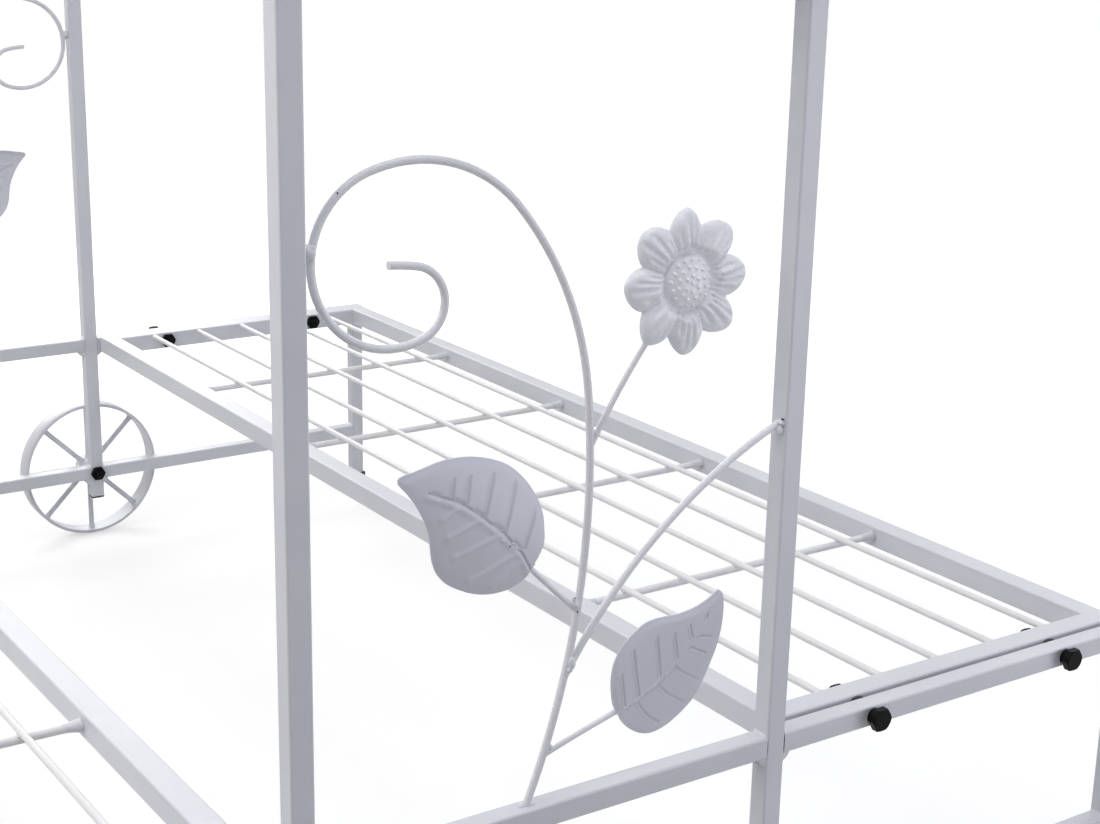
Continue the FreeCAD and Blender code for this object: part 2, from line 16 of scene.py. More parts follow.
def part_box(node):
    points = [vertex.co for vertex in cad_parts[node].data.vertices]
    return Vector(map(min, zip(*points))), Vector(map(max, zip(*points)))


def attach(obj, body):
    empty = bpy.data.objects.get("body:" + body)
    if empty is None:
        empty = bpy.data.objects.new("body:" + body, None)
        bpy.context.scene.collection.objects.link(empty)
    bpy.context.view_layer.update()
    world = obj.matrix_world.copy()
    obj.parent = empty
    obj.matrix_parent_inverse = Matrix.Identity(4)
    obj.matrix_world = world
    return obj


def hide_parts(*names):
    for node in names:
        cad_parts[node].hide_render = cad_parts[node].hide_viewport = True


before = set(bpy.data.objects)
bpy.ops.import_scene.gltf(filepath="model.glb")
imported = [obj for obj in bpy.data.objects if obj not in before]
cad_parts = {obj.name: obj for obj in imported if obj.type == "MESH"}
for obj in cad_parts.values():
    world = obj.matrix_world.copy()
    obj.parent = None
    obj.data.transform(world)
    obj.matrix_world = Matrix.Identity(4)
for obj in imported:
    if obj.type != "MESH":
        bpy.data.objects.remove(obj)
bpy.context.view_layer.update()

MM = 0.001


def new_object(name, data):
    """An object with its data, in the scene."""
    item = bpy.data.objects.new(name, data)
    bpy.context.scene.collection.objects.link(item)
    return item


# %% [markdown]
# ## Camera
# A camera's place, heading and tilt could be guessed by eye. Here they were solved once from the straight
# tubes, whose ends have known places in the model, so the lens, heading, pitch and roll are plain numbers.

# %% Camera
CAMERA_PLACE = Vector((-0.501555, -1.248833, 0.677313))
CAMERA_HEADING = math.radians(34.388)  # from +Y towards +X
CAMERA_PITCH = math.radians(-16.189)
CAMERA_ROLL = math.radians(1.238)
LENS = 61.17  # mm, on the sensor below
SENSOR_WIDTH = 36.0
NEAREST_SEEN = 0.01  # m

camera = new_object("camera", bpy.data.cameras.new("camera"))
camera.data.lens = LENS
camera.data.sensor_width = SENSOR_WIDTH
camera.data.clip_start = NEAREST_SEEN
camera.matrix_world = (Matrix.Translation(CAMERA_PLACE)
                       @ Matrix.Rotation(-CAMERA_HEADING, 4, "Z")
                       @ Matrix.Rotation(math.pi / 2 + CAMERA_PITCH, 4, "X")
                       @ Matrix.Rotation(CAMERA_ROLL, 4, "Z"))
bpy.context.scene.camera = camera
camera_right = camera.matrix_world.to_3x3() @ Vector((1, 0, 0))
print("camera right", [round(value, 4) for value in camera_right])

# %% [markdown]
# ## Surfaces from grids
# Most details are one grid of points: a function of two parameters, worked out as whole arrays. The
# helper below joins the grid's neighbours with quads, welds rows that shrink to a point, turns the faces
# outwards and keeps hard edges sharp.

# %% Grid helpers
WELD_DISTANCE = 1e-7  # points closer than this are one point, in metres
SHARP_ANGLE = math.radians(40)


def grid_quads(rows, columns, wrap_rows, wrap_columns, first):
    """Quads that join each grid point to its next row and column; a wrapped side joins its end to its
    start."""
    row, column = np.meshgrid(np.arange(rows if wrap_rows else rows - 1),
                              np.arange(columns if wrap_columns else columns - 1), indexing="ij")
    next_row, next_column = (row + 1) % rows, (column + 1) % columns
    corners = [(row, column), (row, next_column), (next_row, next_column), (next_row, column)]
    return first + np.stack([r * columns + c for r, c in corners], axis=-1).reshape(-1, 4)


def closed_tube(grid):
    """A surface whose rows are rings, and whose first and last row shrink to a point."""
    return grid, False, True


def closed_ring(grid):
    """A surface that is closed both along its rows and round them."""
    return grid, True, True


def make_piece(name, surfaces, finish, replaced=(), body="stand",
               sharp=SHARP_ANGLE):
    """One mesh object from (grid in mm, wrap_rows, wrap_columns) surfaces, with finish and body."""
    points, quads, first = [], [], 0
    for grid, wrap_rows, wrap_columns in surfaces:
        rows, columns = grid.shape[:2]
        points.append(grid.reshape(-1, 3) * MM)
        quads.append(grid_quads(rows, columns, wrap_rows, wrap_columns, first))
        first += rows * columns
    mesh = bpy.data.meshes.new(name)
    mesh.from_pydata(np.concatenate(points).tolist(), [], np.concatenate(quads).tolist())
    shell = bmesh.new()
    shell.from_mesh(mesh)
    bmesh.ops.remove_doubles(shell, verts=shell.verts, dist=WELD_DISTANCE)
    bmesh.ops.dissolve_degenerate(shell, edges=shell.edges, dist=WELD_DISTANCE)
    bmesh.ops.recalc_face_normals(shell, faces=shell.faces)
    shell.to_mesh(mesh)
    shell.free()
    mesh.shade_smooth()
    mesh.set_sharp_from_angle(angle=sharp)
    mesh.materials.append(finish)
    piece = new_object(name, mesh)
    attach(piece, body)
    if replaced:
        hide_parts(*replaced)
    print(name, len(mesh.polygons), "faces")


def make_at_both_ends(name, surfaces, finish, node=None):
    """A piece on the front end frame, and the same turned half a turn about Z on the rear one."""
    for end, sides in (("front", (1.0, 1.0, 1.0)), ("rear", (-1.0, -1.0, 1.0))):
        shapes = [(grid * np.array(sides), *wraps) for grid, *wraps in surfaces]
        make_piece(f"{name}_{end}", shapes, finish, [f"{end}_{node}"] if node else ())


def full_turn(columns):
    """Angles of evenly spaced columns round a closed shape."""
    return np.linspace(0, 2 * np.pi, columns, endpoint=False)


# %% Read places from the model
def loose_parts(node):
    """Point arrays (mm) of a CAD node's separate solids. Equal corners of its loose triangles are one
    point; every point takes the lowest number among its neighbours until nothing changes."""
    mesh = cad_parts[node].data
    places = np.empty(len(mesh.vertices) * 3)
    mesh.vertices.foreach_get("co", places)
    corners = np.empty(len(mesh.loops), int)
    mesh.loops.foreach_get("vertex_index", corners)
    points, merged = np.unique((places.reshape(-1, 3) / MM).round(3), axis=0, return_inverse=True)
    triangles = merged.reshape(-1)[corners].reshape(-1, 3)
    labels = np.arange(len(points))
    while True:
        lowest = labels[triangles].min(axis=1)
        settled = labels.copy()
        for corner in range(3):
            np.minimum.at(settled, triangles[:, corner], lowest)
        settled = settled[settled]
        if np.array_equal(settled, labels):
            break
        labels = settled
    return [points[labels == label] for label in np.unique(labels)]


def box_of(points):
    """Lowest and highest corner of an array of points."""
    return np.array((points.min(axis=0), points.max(axis=0)))


def node_box(node):
    """Lowest and highest corner of a CAD node, in mm."""
    low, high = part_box(node)
    return np.array((low, high)) / MM


print("solids in the front branches:", len(loose_parts("front_vine_branches")))

# %% [markdown]
# ## Node groups
# Grain, tone and chips are used by more than one finish, so each is a shader node group. A group puts
# out only a height, a colour or a mask, and the Principled shader stays in the material.

# %% Node helpers
def feed(tree, socket, value):
    """Link another node's output to a socket, or set the socket's own value."""
    if isinstance(value, bpy.types.NodeSocket):
        tree.links.new(value, socket)
    else:
        socket.default_value = value


def add_node(tree, kind, sockets=None, **settings):
    """A new node with its settings and its inputs."""
    node = tree.nodes.new("ShaderNode" + kind)
    for name, value in settings.items():
        setattr(node, name, value)
    for name, value in (sockets or {}).items():
        feed(tree, node.inputs[name], value)
    return node


def maths(tree, operation, *values):
    """Output of a Math node on sockets or numbers."""
    return add_node(tree, "Math", dict(enumerate(values)), operation=operation).outputs[0]


def noise(tree, place, scale, detail, roughness=0.5):
    """Outputs of a noise texture, value and colour; its scale is in waves per metre."""
    return add_node(tree, "TexNoise", {"Vector": place, "Scale": scale, "Detail": detail,
                                       "Roughness": roughness}).outputs


def mapped(tree, value, start, end, low, high, **settings):
    """A value moved from the range start..end to low..high."""
    return add_node(tree, "MapRange", {"Value": value, "From Min": start, "From Max": end, "To Min": low,
                                       "To Max": high}, **settings).outputs[0]


def mix_colour(tree, share, first, second):
    """Colour between two colours by a share from 0 to 1."""
    return add_node(tree, "Mix", {0: share, 6: first, 7: second}, data_type="RGBA").outputs[2]


def shader_group(name, inputs, output, kind="Float"):
    """An empty node group with a Place, one input for each number or colour (None), and one output."""
    tree = bpy.data.node_groups.new(name, "ShaderNodeTree")
    tree.interface.new_socket("Place", in_out="INPUT", socket_type="NodeSocketVector")
    for label, value in inputs.items():
        input_kind = "NodeSocketColor" if value is None else "NodeSocketFloat"
        socket = tree.interface.new_socket(label, in_out="INPUT", socket_type=input_kind)
        if value is not None:
            socket.default_value = value
    tree.interface.new_socket(output, in_out="OUTPUT", socket_type="NodeSocket" + kind)
    return tree, tree.nodes.new("NodeGroupInput").outputs, tree.nodes.new("NodeGroupOutput").inputs[0]


def use_group(tree, group, sockets):
    """Output of a group placed in a material with its own values."""
    return add_node(tree, "Group", sockets, node_tree=group).outputs[0]


# %% Grain, tone and chip groups
CLOUD_EDGES = (0.35, 0.65)  # noise values where a cloud begins and where it is full
FINE_SCALE = 1400.0  # waves per metre of the speckle in a tone
RAGGED_SCALE = 900.0  # and of the noise that makes a chip's edge ragged
RAGGED_REACH = 0.0006  # m that it moves the edge


def sprayed_grain():
    """Height = long soft waves of orange peel + a finer dusty grain, each a noise of its own size."""
    tree, given, made = shader_group(
        "sprayed_grain", {"Wave Size": 0.0022, "Dust Size": 0.0005, "Dust Share": 0.3}, "Height")
    per_wave, per_dust = (maths(tree, "DIVIDE", 1.0, given[size]) for size in ("Wave Size", "Dust Size"))
    waves = noise(tree, given["Place"], per_wave, detail=1.0, roughness=0.4)
    dust = noise(tree, given["Place"], per_dust, detail=2.0, roughness=0.6)
    dusty = maths(tree, "MULTIPLY", dust[0], given["Dust Share"])
    feed(tree, made, maths(tree, "ADD", waves[0], dusty))
    return tree


def cloudy_tone():
    """Colour = one of two near tones by a cloud noise, a little darker where a fine noise peaks."""
    tree, given, made = shader_group(
        "cloudy_tone", {"Light Tone": None, "Deep Tone": None, "Cloud Size": 0.06, "Speckle": 0.02},
        "Colour", "Color")
    per_cloud = maths(tree, "DIVIDE", 1.0, given["Cloud Size"])
    clouds = noise(tree, given["Place"], per_cloud, detail=3.0, roughness=0.55)
    share = mapped(tree, clouds[0], *CLOUD_EDGES, 0.0, 1.0)
    tone = mix_colour(tree, share, given["Light Tone"], given["Deep Tone"])
    grain = noise(tree, given["Place"], FINE_SCALE, detail=2.0)
    value = maths(tree, "SUBTRACT", 1.0, maths(tree, "MULTIPLY", grain[0], given["Speckle"]))
    feed(tree, made, add_node(tree, "VectorMath", {0: tone, "Scale": value}, operation="SCALE").outputs[0])
    return tree


def coat_chips():
    """Mask = 1 inside the few cells whose own random number is below the amount, within a ragged
    radius."""
    tree, given, made = shader_group(
        "coat_chips", {"Spacing": 0.03, "Chip Size": 0.0006, "Amount": 0.3}, "Mask")
    ragged = noise(tree, given["Place"], RAGGED_SCALE, detail=2.0)
    shift = add_node(tree, "VectorMath", {0: ragged[1], "Scale": RAGGED_REACH}, operation="SCALE")
    place = add_node(tree, "VectorMath", {0: given["Place"], 1: shift.outputs[0]}, operation="ADD")
    per_cell = maths(tree, "DIVIDE", 1.0, given["Spacing"])
    cells = add_node(tree, "TexVoronoi", {"Vector": place.outputs[0], "Scale": per_cell}).outputs
    radius = maths(tree, "DIVIDE", given["Chip Size"], given["Spacing"])
    inside = maths(tree, "LESS_THAN", cells["Distance"], radius)
    number = add_node(tree, "SeparateColor", {"Color": cells["Color"]}).outputs[0]
    feed(tree, made, maths(tree, "MULTIPLY", inside, maths(tree, "LESS_THAN", number, given["Amount"])))
    return tree


GRAIN = sprayed_grain()
TONE = cloudy_tone()
CHIPS = coat_chips()
print("groups:", [tree.name for tree in bpy.data.node_groups])

# %% [markdown]
# ## Finishes
# The steel is powder coated: a baked plastic skin with soft orange peel, a semi-gloss sheen and a few
# specks of dust or chipped coat. Fasteners are black oxide steel, sleeves are zinc plated, and the small
# plastic parts are matt and slightly pebbled.

# %% Finishes
CHIP_COLOUR = (0.05, 0.05, 0.06, 1)
GLOSS_SPREAD = (-0.05, 0.07)  # how far the grain moves a powder coat's roughness
PEEL = 0.00004  # m, height of its orange peel
GLOSSY_GRAIN = 0.3  # height of the grain where a finish is at its glossiest


def make_finish(name, light, deep, grain, gloss, peel, tone=None, chips=None, drawn=None, gloss_end=1.0,
                uniform=None):
    """A node material: two near tones in clouds, the grain in the gloss and in a bump, and dark chips
    where they are given. Drawn is a scale that stretches the grain; uniform sets the shader's inputs."""
    material = bpy.data.materials.new(name)
    material.use_nodes = True
    tree = material.node_tree
    shader = tree.nodes["Principled BSDF"].inputs
    place = add_node(tree, "TexCoord").outputs["Object"]
    colour = use_group(tree, TONE, {"Place": place, "Light Tone": (*light, 1), "Deep Tone": (*deep, 1),
                                    **(tone or {})})
    if chips:
        colour = mix_colour(tree, use_group(tree, CHIPS, {"Place": place, **chips}), colour, CHIP_COLOUR)
    if drawn:
        place = add_node(tree, "Mapping", {"Vector": place, "Scale": drawn}).outputs[0]
    height = use_group(tree, GRAIN, {"Place": place, **grain})
    feed(tree, shader["Base Color"], colour)
    feed(tree, shader["Roughness"], mapped(tree, height, GLOSSY_GRAIN, gloss_end, *gloss))
    feed(tree, shader["Normal"], add_node(tree, "Bump", {"Height": height, "Distance": peel}).outputs[0])
    for socket_name, value in (uniform or {}).items():
        shader[socket_name].default_value = value
    return material


def powder_coat(where, light, deep, roughness, wave_size, chips=0.10, spacing=0.03, chip_size=0.0006,
                peel=PEEL):
    """Baked skin in two near tones, with orange peel and sparse dark chips; sizes are in metres."""
    gloss = [roughness + spread for spread in GLOSS_SPREAD]
    chips = {"Amount": chips, "Spacing": spacing, "Chip Size": chip_size}
    return make_finish("powder_coat_on_" + where, light, deep, {"Wave Size": wave_size}, gloss, peel,
                       chips=chips)


# One white coat in copies fitted to how bright each part looks. The shelf wires, the bent wires and the
# casting are lighter than the tubes, as painted light where more light falls on them. The leaves' copy is
# a little darker, as painted shade.
coat_on_tube = powder_coat("tube", (0.735, 0.738, 0.785), (0.70, 0.704, 0.76), 0.40, 0.0022)
lit_coat_on_wire = powder_coat("wire", (0.865, 0.86, 0.87), (0.835, 0.83, 0.85), 0.38, 0.0016)
coat_on_leaf = powder_coat("leaf", (0.705, 0.703, 0.778), (0.679, 0.676, 0.755), 0.42, 0.0018)
lit_coat_on_bent_wire = powder_coat("bent_wire", (0.845, 0.84, 0.875), (0.815, 0.81, 0.85), 0.28, 0.0016, 0.25)
lit_coat_on_casting = powder_coat("casting", (0.955, 0.955, 1.0), (0.935, 0.935, 0.985), 0.27, 0.0018,
                              peel=0.000015)
coat_on_weld = powder_coat("weld", (0.81, 0.81, 0.85), (0.72, 0.725, 0.78), 0.32, 0.0010, spacing=0.003,
                           chip_size=0.0003)

# Black oxide is dark and a little mottled, the moulded plastic is matt with a pebbled skin, and the zinc
# plate has fine lengthwise scratches from drawing the tube.
oxide = make_finish("black_oxide", (0.008, 0.008, 0.009), (0.003, 0.003, 0.004),
                    {"Wave Size": 0.0007, "Dust Size": 0.0002}, gloss=(0.30, 0.46), peel=0.00003,
                    tone={"Cloud Size": 0.004, "Speckle": 0.3}, uniform={"Specular IOR Level": 0.05})
plastic = make_finish("black_plastic", (0.022, 0.022, 0.024), (0.012, 0.012, 0.014),
                      {"Wave Size": 0.0006, "Dust Size": 0.00025, "Dust Share": 0.5}, gloss=(0.5, 0.7),
                      peel=0.00008, tone={"Cloud Size": 0.01, "Speckle": 0.2}, gloss_end=1.2)
zinc = make_finish("zinc_plate", (0.66, 0.67, 0.70), (0.55, 0.56, 0.58),
                   {"Wave Size": 0.0004, "Dust Size": 0.0002}, gloss=(0.25, 0.42), peel=0.00002,
                   tone={"Cloud Size": 0.01}, drawn=(1.0, 1.0, 0.04), uniform={"Metallic": 1.0})
print("finishes:", [material.name for material in bpy.data.materials])

# %% [markdown]
# ## Finish of every CAD node
# The tubes, rods and bent wires of the CAD model already have the right shape, so they keep their
# meshes and only get a finish. Thin wires get a finer orange peel than the tubes.

# %% Give each node its finish
FINISH_BY_WORD = (("arch_sleeves", zinc), ("post_plugs", plastic), ("shelf_spacers", plastic),
                  ("foot_", plastic), ("_bolts", oxide), ("_nuts", oxide),
                  ("flower", coat_on_leaf), ("leaf", coat_on_leaf),
                  ("scroll_wire", lit_coat_on_bent_wire), ("vine_branches", lit_coat_on_bent_wire),
                  ("_wires", lit_coat_on_wire), ("", coat_on_tube))
for node_name, node_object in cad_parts.items():
    finish = next(finish for word, finish in FINISH_BY_WORD if word in node_name)
    node_object.data.materials.clear()
    node_object.data.materials.append(finish)
print("finished", len(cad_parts), "nodes")

# %% [markdown]
# ## Flower
# The flower is a small casting: eight plump petals with a groove between neighbours, short creases near
# the middle, and a domed disc covered in raised dots. It could be sculpted by hand. Here its height is a
# formula in polar coordinates, which keeps the petals, creases and dots exactly where they are wanted.

# %% Flower outline
PETAL_TIPS = np.array([-1.6, 46.1, 87.3, 130.4, 178.6, 219.4, 270.9, 312.2])  # degrees from up
TIP_RADII = np.array([37.5, 37.7, 38.3, 39.2, 38.3, 38.3, 38.3, 38.9])  # mm
VALLEYS = np.array([16.5, 65.9, 111.3, 155.7, 200.4, 244.5, 289.7, 336.0])
VALLEY_RADII = np.array([28.9, 27.9, 28.3, 29.2, 29.2, 29.7, 29.1, 29.3])
TIP_ROUND = np.array([0.42, 0.35, 0.50, 0.40, 0.34, 0.30, 0.50, 0.45])  # larger is blunter
TIP_POWER = np.array([0.95, 0.90, 0.80, 0.90, 1.0, 0.90, 0.75, 0.80])
DISC_RADIUS = 14.1
FLOWER_SHIFT = (-0.4, 0.9)  # mm, X and Z from the middle of the node's box


def petal_outline(turn):
    """Outline radius and share across the petal (-1 to 1, 0 at the tip) for angles in degrees.
    Radius = valley + (tip - valley) * (1 - rounded |share|) ** power."""
    starts = np.concatenate([[VALLEYS[-1] - 360], VALLEYS])
    turn = np.where(turn >= starts[-1], turn - 360, turn)
    petal = np.searchsorted(starts, turn, side="right") - 1
    before = turn < PETAL_TIPS[petal]
    valley = np.where(before, starts[petal], starts[petal + 1])
    valley_radius = np.where(before, VALLEY_RADII[petal - 1], VALLEY_RADII[petal])
    across = (turn - PETAL_TIPS[petal]) / np.abs(valley - PETAL_TIPS[petal])
    rounding = TIP_ROUND[petal]
    fall = (np.hypot(across, rounding) - rounding) / (np.hypot(1, rounding) - rounding)
    radius = valley_radius + (TIP_RADII[petal] - valley_radius) * (1 - fall) ** TIP_POWER[petal]
    return radius, across, petal


check_radius = petal_outline(np.array([PETAL_TIPS[0], VALLEYS[0], PETAL_TIPS[4]]))[0]
print("outline at two tips and a valley, mm:", check_radius.round(1))


# %% Flower height
def smooth_step(value):
    """0 below 0, 1 above 1, and 3v^2 - 2v^3 between."""
    value = np.clip(value, 0, 1)
    return value * value * (3 - 2 * value)


DISC_TOP = 7.5
GROOVE_HEIGHT = 1.5
PETAL_CROWN = 7.0
CREASES = ((-0.58, 0.10, 0.52), (-0.19, 0.14, 0.78), (0.22, 0.11, 0.70), (0.62, 0.10, 0.48))
CREASE_DEPTH = 1.75  # mm; a crease is a place across, a start and an end along
CREASE_STRENGTH = np.array([1.0, 0.5, 1.35, 1.25, 1.0, 0.6, 1.0, 1.2])  # of each petal
CREASE_WIDTH = 0.135
CREASE_SWAY = 0.05  # how far the petals' creases differ from each other
SWAY_STEPS = (3.1, 1.7)  # radians from petal to petal, and from crease to crease
CREASE_ENDS = (0.10, 0.30)  # shares of the petal over which a crease deepens and fades
RISE_LENGTH = 0.30  # share of the petal over which it rises from the groove
EDGE_POWER = 2.8  # higher powers keep a petal high until nearer to its edge
SIDE_POWER = 2.6
SIDE_FALL = 0.66  # share of its height that a petal loses at its sides
SIDE_RATE = 6  # the sides fall by the smooth step of rate * place along + start
SIDE_START = 0.35
DOME_POWERS = (3.2, 0.55)
DOT_RINGS = ((0.0, 1), (4.3, 6), (8.4, 12), (12.2, 17))  # radius in mm, count
STAGGERED_RING = 8.4  # the ring whose dots lie between its neighbours'
DOT_HEIGHT = 1.35
DOT_SPREAD = 0.86
DOT_SHIFT = 0.45  # mm that a dot strays from its ring
DOT_STRAY = 7.0  # radians of its stray for each radian round the ring
DOT_LIMIT = 1.02  # share of the disc's radius where the dots are gone
DOT_FADE = 0.05  # share over which they go


def petal_height(along, across, petal):
    """Height over the back plane of a petal: a crown that rises from the groove round the disc and
    rounds off to the edge, lower towards the neighbours, with pressed creases that fade outwards."""
    rise = GROOVE_HEIGHT + (PETAL_CROWN - GROOVE_HEIGHT) * smooth_step(along / RISE_LENGTH)
    edge = np.sqrt(np.clip(1 - along ** EDGE_POWER, 0, 1))
    sides = 1 - SIDE_FALL * np.abs(across) ** SIDE_POWER * smooth_step(along * SIDE_RATE + SIDE_START)
    creases = 0
    for number, (place, start, end) in enumerate(CREASES):
        sway = CREASE_SWAY * np.sin(SWAY_STEPS[0] * petal + SWAY_STEPS[1] * number)
        deepen, fade = CREASE_ENDS
        run = smooth_step((along - start) / deepen) * (1 - smooth_step((along - end) / fade))
        creases = creases + np.exp(-((across - place - sway) / CREASE_WIDTH) ** 2) * run
    return rise * edge * sides - CREASE_DEPTH * CREASE_STRENGTH[petal] * creases * edge


def disc_height(radius, turn):
    """Height of the domed disc, a steep-edged dome, plus one small bump for each dot of its rings."""
    share = np.clip(radius / DISC_RADIUS, 0, 1)
    bend, steepness = DOME_POWERS
    dome = GROOVE_HEIGHT + (DISC_TOP - GROOVE_HEIGHT - DOT_HEIGHT) * (1 - share ** bend) ** steepness
    x, z = radius * np.sin(turn), radius * np.cos(turn)
    dots = 0
    for ring, count in DOT_RINGS:
        first = 0.5 if ring == STAGGERED_RING else 0
        for angle in 2 * np.pi * (np.arange(count) + first) / count:
            place = ring + DOT_SHIFT * np.sin(DOT_STRAY * angle + ring)
            apart = np.hypot(x - place * np.sin(angle), z - place * np.cos(angle))
            dots = dots + np.exp(-(apart / DOT_SPREAD) ** 4)
    return dome + DOT_HEIGHT * dots * smooth_step((DOT_LIMIT - share) / DOT_FADE)


# %% Flower mesh
CASTING_WALL = 1.9  # mm, of the hollow petals
EDGE_INSET = 1.7  # mm from a petal's outline to the hollow behind it
HOLLOW_ENDS = (0.05, 0.2)  # shares of the petal over which the hollow starts at its edge and its foot
ROW_POWER = 1.5  # more than 1 sets the rows closer towards the petal's edge


def flower_surface(columns=400, disc_rows=64, petal_rows=72, back_rows=26):
    """One closed grid round the flower: rows run from the middle of the disc out over the petals to
    the edge, and back under the hollow petals to the middle. Heights are mm over the flower's back."""
    turn = np.linspace(0, 360, columns, endpoint=False)
    outline, across, petal_number = petal_outline(turn)
    angle = np.radians(turn)
    shares = (np.linspace(0, 1, disc_rows), 1 - (1 - np.linspace(0, 1, petal_rows + 1)[1:]) ** ROW_POWER,
              np.linspace(1, 0, back_rows), np.array([0.99, 0.5, 0.0]))
    disc, along, under, back_disc = (share[:, None] * np.ones(columns) for share in shares)
    disc, back_disc = disc * DISC_RADIUS, back_disc * DISC_RADIUS
    petal = DISC_RADIUS + along * (outline - DISC_RADIUS)
    beneath = DISC_RADIUS + under * (outline - EDGE_INSET - DISC_RADIUS)
    radius = np.concatenate([disc, petal, beneath, back_disc])
    hollow = np.maximum(petal_height(under, across, petal_number) - CASTING_WALL, 0)
    hollow = hollow * smooth_step((1 - under) / HOLLOW_ENDS[0]) * smooth_step(under / HOLLOW_ENDS[1])
    height = np.concatenate([disc_height(disc, angle), petal_height(along, across, petal_number), hollow,
                             0 * back_disc])
    return radius * np.sin(angle), height, radius * np.cos(angle)


def make_flowers():
    """The flower's middle is the middle of the CAD node's box; its back is the node's back."""
    low, high = node_box("front_flower")
    centre = (low + high) / 2
    across, height, up = flower_surface()
    middle_x = (across.min() + across.max()) / 2
    middle_z = (up.min() + up.max()) / 2
    centre = centre + np.array((FLOWER_SHIFT[0] - middle_x, 0.0, FLOWER_SHIFT[1] - middle_z))
    grid = np.stack([centre[0] + across, high[1] - height, centre[2] + up], axis=-1)
    make_at_both_ends("flower", [closed_tube(grid)], lit_coat_on_casting, "flower")
    return centre[0], centre[2]


flower_place = make_flowers()
print("flower middle, mm:", [round(value, 1) for value in flower_place])

# %% [markdown]
# ## Leaves
# Each leaf is cut from sheet, bowed across its midrib and stamped with veins, so a vein is a groove in
# the front and a ridge behind. The outline is a smooth closed curve through measured stations, and the
# grid runs from one side over the midrib to the other. Along one side of the upper leaf the stamp made
# round ribs instead of grooves.

# %% Leaf outlines and veins
# Stations are thousandths of a leaf's length: along its heading, and to the left of it. A midrib has its
# place beside the first vein, its width and its height in mm, and its vein's depth as a share.
UPPER_LEAF = {
    "node": "upper_leaf", "length": 93.3, "heading": 142.0, "bow": 95.0, "shift": (0.0, 0.0),
    "ribs": True, "rolled": (1.0, 0.2), "midrib": (2.2, 1.9, 0.7, 1.2),
    "right": ((-11, -37), (-10, -106), (0, -157), (42, -225), (91, -286), (157, -331), (238, -366),
        (337, -387), (428, -389), (518, -371), (606, -341), (700, -298), (784, -245), (859, -184),
        (916, -124), (966, -68), (998, -34), (1013, -14), (1014, 0)),
    "left": ((-11, -37), (0, 0), (0, 52), (34, 131), (95, 200), (189, 260), (288, 289), (389, 300),
        (480, 283), (552, 245), (620, 188), (669, 145), (724, 108), (787, 75), (858, 47), (931, 27),
        (988, 16), (1010, 10), (1014, 0)),
    "veins": (
        ((820, -31), (675, -69), (584, -84), (429, -84), (274, -77), (199, -61), (102, -42), (0, 0)),
        ((678, -74), (725, -159)), ((578, -87), (642, -221)), ((437, -94), (507, -301)),
        ((271, -78), (348, -339)), ((109, -73), (158, -289)), ((625, -49), (659, 36)),
        ((468, -57), (565, 102)), ((310, -44), (455, 166)), ((144, -27), (288, 224)),
        ((93, -19), (149, 189))),
    "pits": (((760, -52), (800, -40)), ((610, -85), (655, -79)), ((465, -92), (515, -91)),
        ((300, -86), (355, -88)), ((140, -60), (185, -70)))}
LOWER_LEAF = {
    "node": "lower_leaf", "length": 86.0, "heading": 39.0, "bow": 180.0, "shift": (-0.4, -2.0),
    "ribs": False, "rolled": (0.2, 0.9), "midrib": (0.9, 0.6, 0.6, 0.5),
    "right": ((0, 0), (-15, -72), (-10, -148), (9, -219), (40, -287), (81, -341), (133, -381),
        (197, -414), (275, -436), (360, -448), (427, -449), (498, -431), (557, -404), (633, -363),
        (697, -325), (760, -286), (818, -240), (871, -190), (913, -143), (959, -86), (990, -34),
        (1002, -5), (1003, 10)),
    "left": ((0, 0), (11, 51), (41, 108), (82, 166), (129, 215), (179, 252), (220, 271), (269, 286),
        (319, 294), (369, 294), (417, 290), (464, 286), (505, 275), (551, 252), (601, 216), (644, 179),
        (688, 142), (737, 110), (788, 80), (844, 56), (899, 39), (953, 30), (985, 26), (1001, 18),
        (1003, 10)),
    "veins": (((50, -25), (153, -61), (291, -94), (467, -118), (530, -117)), ((61, -7), (168, 167)),
        ((169, -45), (231, 73), (325, 220)), ((352, -66), (493, 155)), ((512, -75), (592, 66)),
        ((670, -65), (703, 16)), ((134, -78), (129, -193), (160, -326)),
        ((306, -105), (320, -230), (366, -380)), ((464, -112), (483, -208), (529, -338)),
        ((622, -110), (674, -239)), ((711, -100), (766, -177)), ((818, -45), (838, -25))),
    "pits": ()}
PER_LENGTH = 1000  # stations in a leaf's length
LEAF_SHEET = 1.2  # mm
EDGE_ROLL = 1.2  # mm that the pressed edge turns back
ROLL_WIDTH = 6.5
VEIN_DEPTH = 0.85
VEIN_WIDTH = 0.62  # mm from its middle to where a third of its depth is left
BANK_HEIGHT = 0.45  # mm that the stamp pushed up on one side of a vein
BANK_WIDTH = 0.70
BANK_PLACE = 1.0  # mm from the vein, towards -X
RIB_HEIGHT = 0.70
RIB_WIDTH = 1.5
LUMPS = ((0.25, 0.62), (0.2, 1.37))  # waves along the midrib: share of its height, radians per mm
LUMPS_MEAN = 0.85
KNOB_WIDTH = 2.2
PIT_WIDTH = 1.2  # mm; pits lie over the midrib, between the veins
PIT_DEPTH = 0.9  # share of a vein's depth, as the next one
DIMPLE_DEPTH = 0.8
DIMPLE_WIDTH = 1.5 * VEIN_WIDTH


